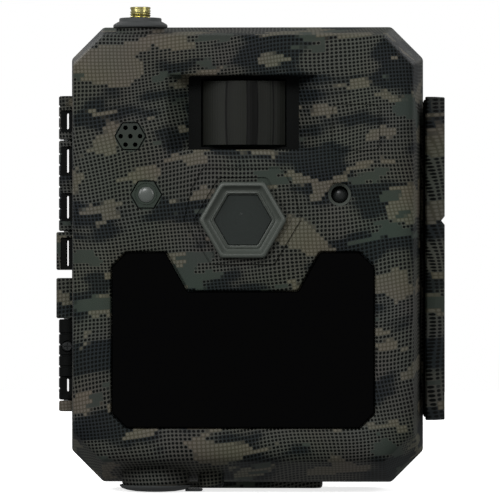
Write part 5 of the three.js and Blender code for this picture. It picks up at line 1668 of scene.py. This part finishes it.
class TRAIL_OT_battery_cover(Piece):
    """The battery bay's cover with its ribs and finger grips, and its sliding latch"""

    bl_idname = "trail.battery_cover"
    bl_label = "Battery cover and latch"

    def build(self):
        front, back = 2.9, 4.5
        cover = made("battery_cover", slab(case_outline(7.4, 7.4, 7.4, 6.6, 1.4), front, back, 0.25),
                     grey_plastic())
        frame_line = case_outline(12, 12, 12, 5, 1.2)
        channel = loft([at_y(grown(frame_line, 0.5), front - 1), at_y(grown(frame_line, 0.5), front + 0.4),
                        at_y(grown(frame_line, -0.5), front + 0.4), at_y(grown(frame_line, -0.5), front - 1)],
                       closed=True)
        cutters = [channel]
        for i in range(6):
            x = (i - 2.5) * 15.2
            cutters.append(slab(rounded_box(9, 84, 2, x, 72), front - 1, front + 0.35))
        carved(cover, cutters)
        grips = []
        for x0 in (-38, 22):
            grips.append(slab(rounded(rectangle(x0, x0 + 16, 20, 22), 0.9), front - 0.8, front + 0.3, 0.2))
        grafted(cover, grips)
        delivered(cover, "battery_cover")
        low, high = L.low("battery_latch"), L.high("battery_latch")
        shapes = [slab(rounded(rectangle(-6, 6, low.z, high.z), 0.8), front - 1.5, front - 0.1, 0.2)]
        for i in range(3):
            z = low.z + 1 + i * 1.5
            shapes.append(block((-5, front - 2, z), (5, front - 1.4, z + 0.8), 0.2))
        delivered(made("battery_latch", shapes, key_grey()), "battery_latch")


class TRAIL_OT_fittings(Piece):
    """Boards, pins, cable and other carried-over parts: each keeps its shape and gets its finish"""

    bl_idname = "trail.fittings"
    bl_label = "Boards, pins and fittings"

    def build(self):
        driven_screw("hinge_screw", 1.7, 0.9, -1,
                     moulded("blackened steel", (0.03, 0.032, 0.032), 0.4, metallic=0.6))
        for node in ("hinge_pin_1", "hinge_pin_2", "hinge_pin_3", "hinge_pin_4", "latch_pin", "card_socket"):
            refinished(node, steel())
        for node in ("main_board", "camera_board"):
            refinished(node, board())
        refinished("ir_cut_filter", dark_plastic())
        refinished("coax_cable", rubber())
        x, y = L.tripod.x, L.tripod.y
        low, high = L.low("tripod_insert").z, L.high("tripod_insert").z
        profile = [(2.9, low + 0.3), (3.2, low), (4.3, low), (4.6, low + 0.3)]
        profile += [(4.6, high - 0.3), (4.3, high), (0.01, high), (0.01, high - 1.5), (2.9, high - 1.5)]
        insert = made("tripod_insert", loft([at_z(circle(r, x, y, 40), z) for r, z in profile], closed=True),
                      brass())
        delivered(insert, "tripod_insert")
        rise = high - 2.2 - low
        thread = grown_by("tripod_thread", coil(), {
            "Start": L.metres(x, y, low + 0.4), "Turns": rise / 1.27, "Foot radius": 2.95 * MM,
            "Tip radius": 2.95 * MM, "Height": rise * MM, "Wire radius": 0.35 * MM, "Wire sides": 4,
            "Count": 1, "Pitch": 0.0, "Steps": 160, "Finish": brass(),
        })
        companion(thread, "tripod_insert")


# ---------------------------------------------------------------- stage
class TRAIL_OT_stage(Piece):
    """Pale floor, soft lights, background and camera"""

    bl_idname = "trail.stage"
    bl_label = "Stage"

    def build(self):
        look = setting("stage")
        scene = bpy.context.scene
        scene.view_settings.view_transform = "Standard"
        aim = Vector((0.0, 0.0, 0.0741))
        floor_mesh = bpy.data.meshes.new("floor")
        shape = bmesh.new()
        bmesh.ops.create_circle(shape, cap_ends=True, radius=1.1, segments=96)
        shape.to_mesh(floor_mesh)
        shape.free()
        paper = moulded("floor paper", (0.86, 0.86, 0.86), 0.9, 300, 0.02, 0.01)
        paper.node_tree.nodes["Principled BSDF"].inputs["Emission Color"].default_value = (1, 1, 1, 1)
        paper.node_tree.nodes["Principled BSDF"].inputs["Emission Strength"].default_value = 0.75
        floor_mesh.materials.append(paper)
        floor = link(bpy.data.objects.new("floor", floor_mesh))
        floor.visible_diffuse = floor.visible_glossy = False

        def light(name, azimuth, elevation, distance, size, power):
            lamp = bpy.data.lights.new(name, "AREA")
            lamp.shape = "DISK"
            lamp.size = size
            lamp.energy = power
            spot = link(bpy.data.objects.new(name, lamp))
            a, e = math.radians(azimuth), math.radians(elevation)
            away = Vector((math.sin(a) * math.cos(e), -math.cos(a) * math.cos(e), math.sin(e)))
            spot.location = aim + away * distance
            spot.rotation_euler = away.to_track_quat("Z", "Y").to_euler()

        light("left softbox", -48, 23, 1.15, 0.6, look.side_power)
        light("right softbox", 50, 20, 1.15, 0.6, 0.7 * look.side_power)
        light("overhead softbox", 0, 74, 1.1, 0.8, look.top_power)
        light("front softbox", -14, 28, 1.6, 0.5, look.front_power)
        light("left rear softbox", -140, 30, 1.4, 0.6, 1.5 * look.side_power)
        light("right rear softbox", 140, 30, 1.4, 0.6, 1.5 * look.side_power)

        world = bpy.data.worlds.new("studio")
        world.use_nodes = True
        tree = world.node_tree
        seen = add(tree, "ShaderNodeLightPath").outputs["Is Camera Ray"]
        glow = tree.nodes["Background"]
        tree.links.new(mixed(tree, seen, (0.24, 0.24, 0.24, 1), (1, 1, 1, 1)), glow.inputs["Color"])
        scene.world = world

        lens = bpy.data.cameras.new("camera")
        lens.sensor_width = 36
        lens.lens = 36 * look.distance / look.frame_width
        lens.clip_end = 20
        eye = link(bpy.data.objects.new("camera", lens))
        away = Vector((math.sin(look.azimuth), -math.cos(look.azimuth), 0))
        eye.location = aim + away * look.distance
        eye.rotation_euler = away.to_track_quat("Z", "Y").to_euler()
        scene.camera = eye


# ---------------------------------------------------------------- panel and registration
OPERATORS = (
    TRAIL_OT_stage, TRAIL_OT_front_cover, TRAIL_OT_bezel, TRAIL_OT_barrel, TRAIL_OT_motion_lens,
    TRAIL_OT_night_window, TRAIL_OT_sensors, TRAIL_OT_latch, TRAIL_OT_antenna_port,
    TRAIL_OT_power_inlet, TRAIL_OT_rear_housing, TRAIL_OT_panel, TRAIL_OT_controls, TRAIL_OT_cards,
    TRAIL_OT_batteries, TRAIL_OT_battery_cover, TRAIL_OT_fittings,
)


class TRAIL_PT_sidebar(Panel):
    """Lists what can be changed and what can be built."""

    bl_idname = "TRAIL_PT_sidebar"
    bl_label = "Trail camera"
    bl_space_type = "VIEW_3D"
    bl_region_type = "UI"
    bl_category = "Trail camera"

    def draw(self, context):
        for group, kind in SETTINGS:
            box = self.layout.box()
            box.label(text=group.capitalize())
            for name in kind.__annotations__:
                box.prop(getattr(context.scene, "trail_" + group), name)
        for operator in OPERATORS:
            self.layout.operator(operator.bl_idname)


def register():
    for group, kind in SETTINGS:
        bpy.utils.register_class(kind)
        setattr(bpy.types.Scene, "trail_" + group, PointerProperty(type=kind))
    for operator in OPERATORS:
        bpy.utils.register_class(operator)
    bpy.utils.register_class(TRAIL_PT_sidebar)


def unregister():
    bpy.utils.unregister_class(TRAIL_PT_sidebar)
    for operator in reversed(OPERATORS):
        bpy.utils.unregister_class(operator)
    for group, kind in reversed(SETTINGS):
        delattr(bpy.types.Scene, "trail_" + group)
        bpy.utils.unregister_class(kind)


def main():
    register()
    for operator in OPERATORS:
        area, name = operator.bl_idname.split(".")
        getattr(getattr(bpy.ops, area), name)()


if __name__ == "__main__":
    main()
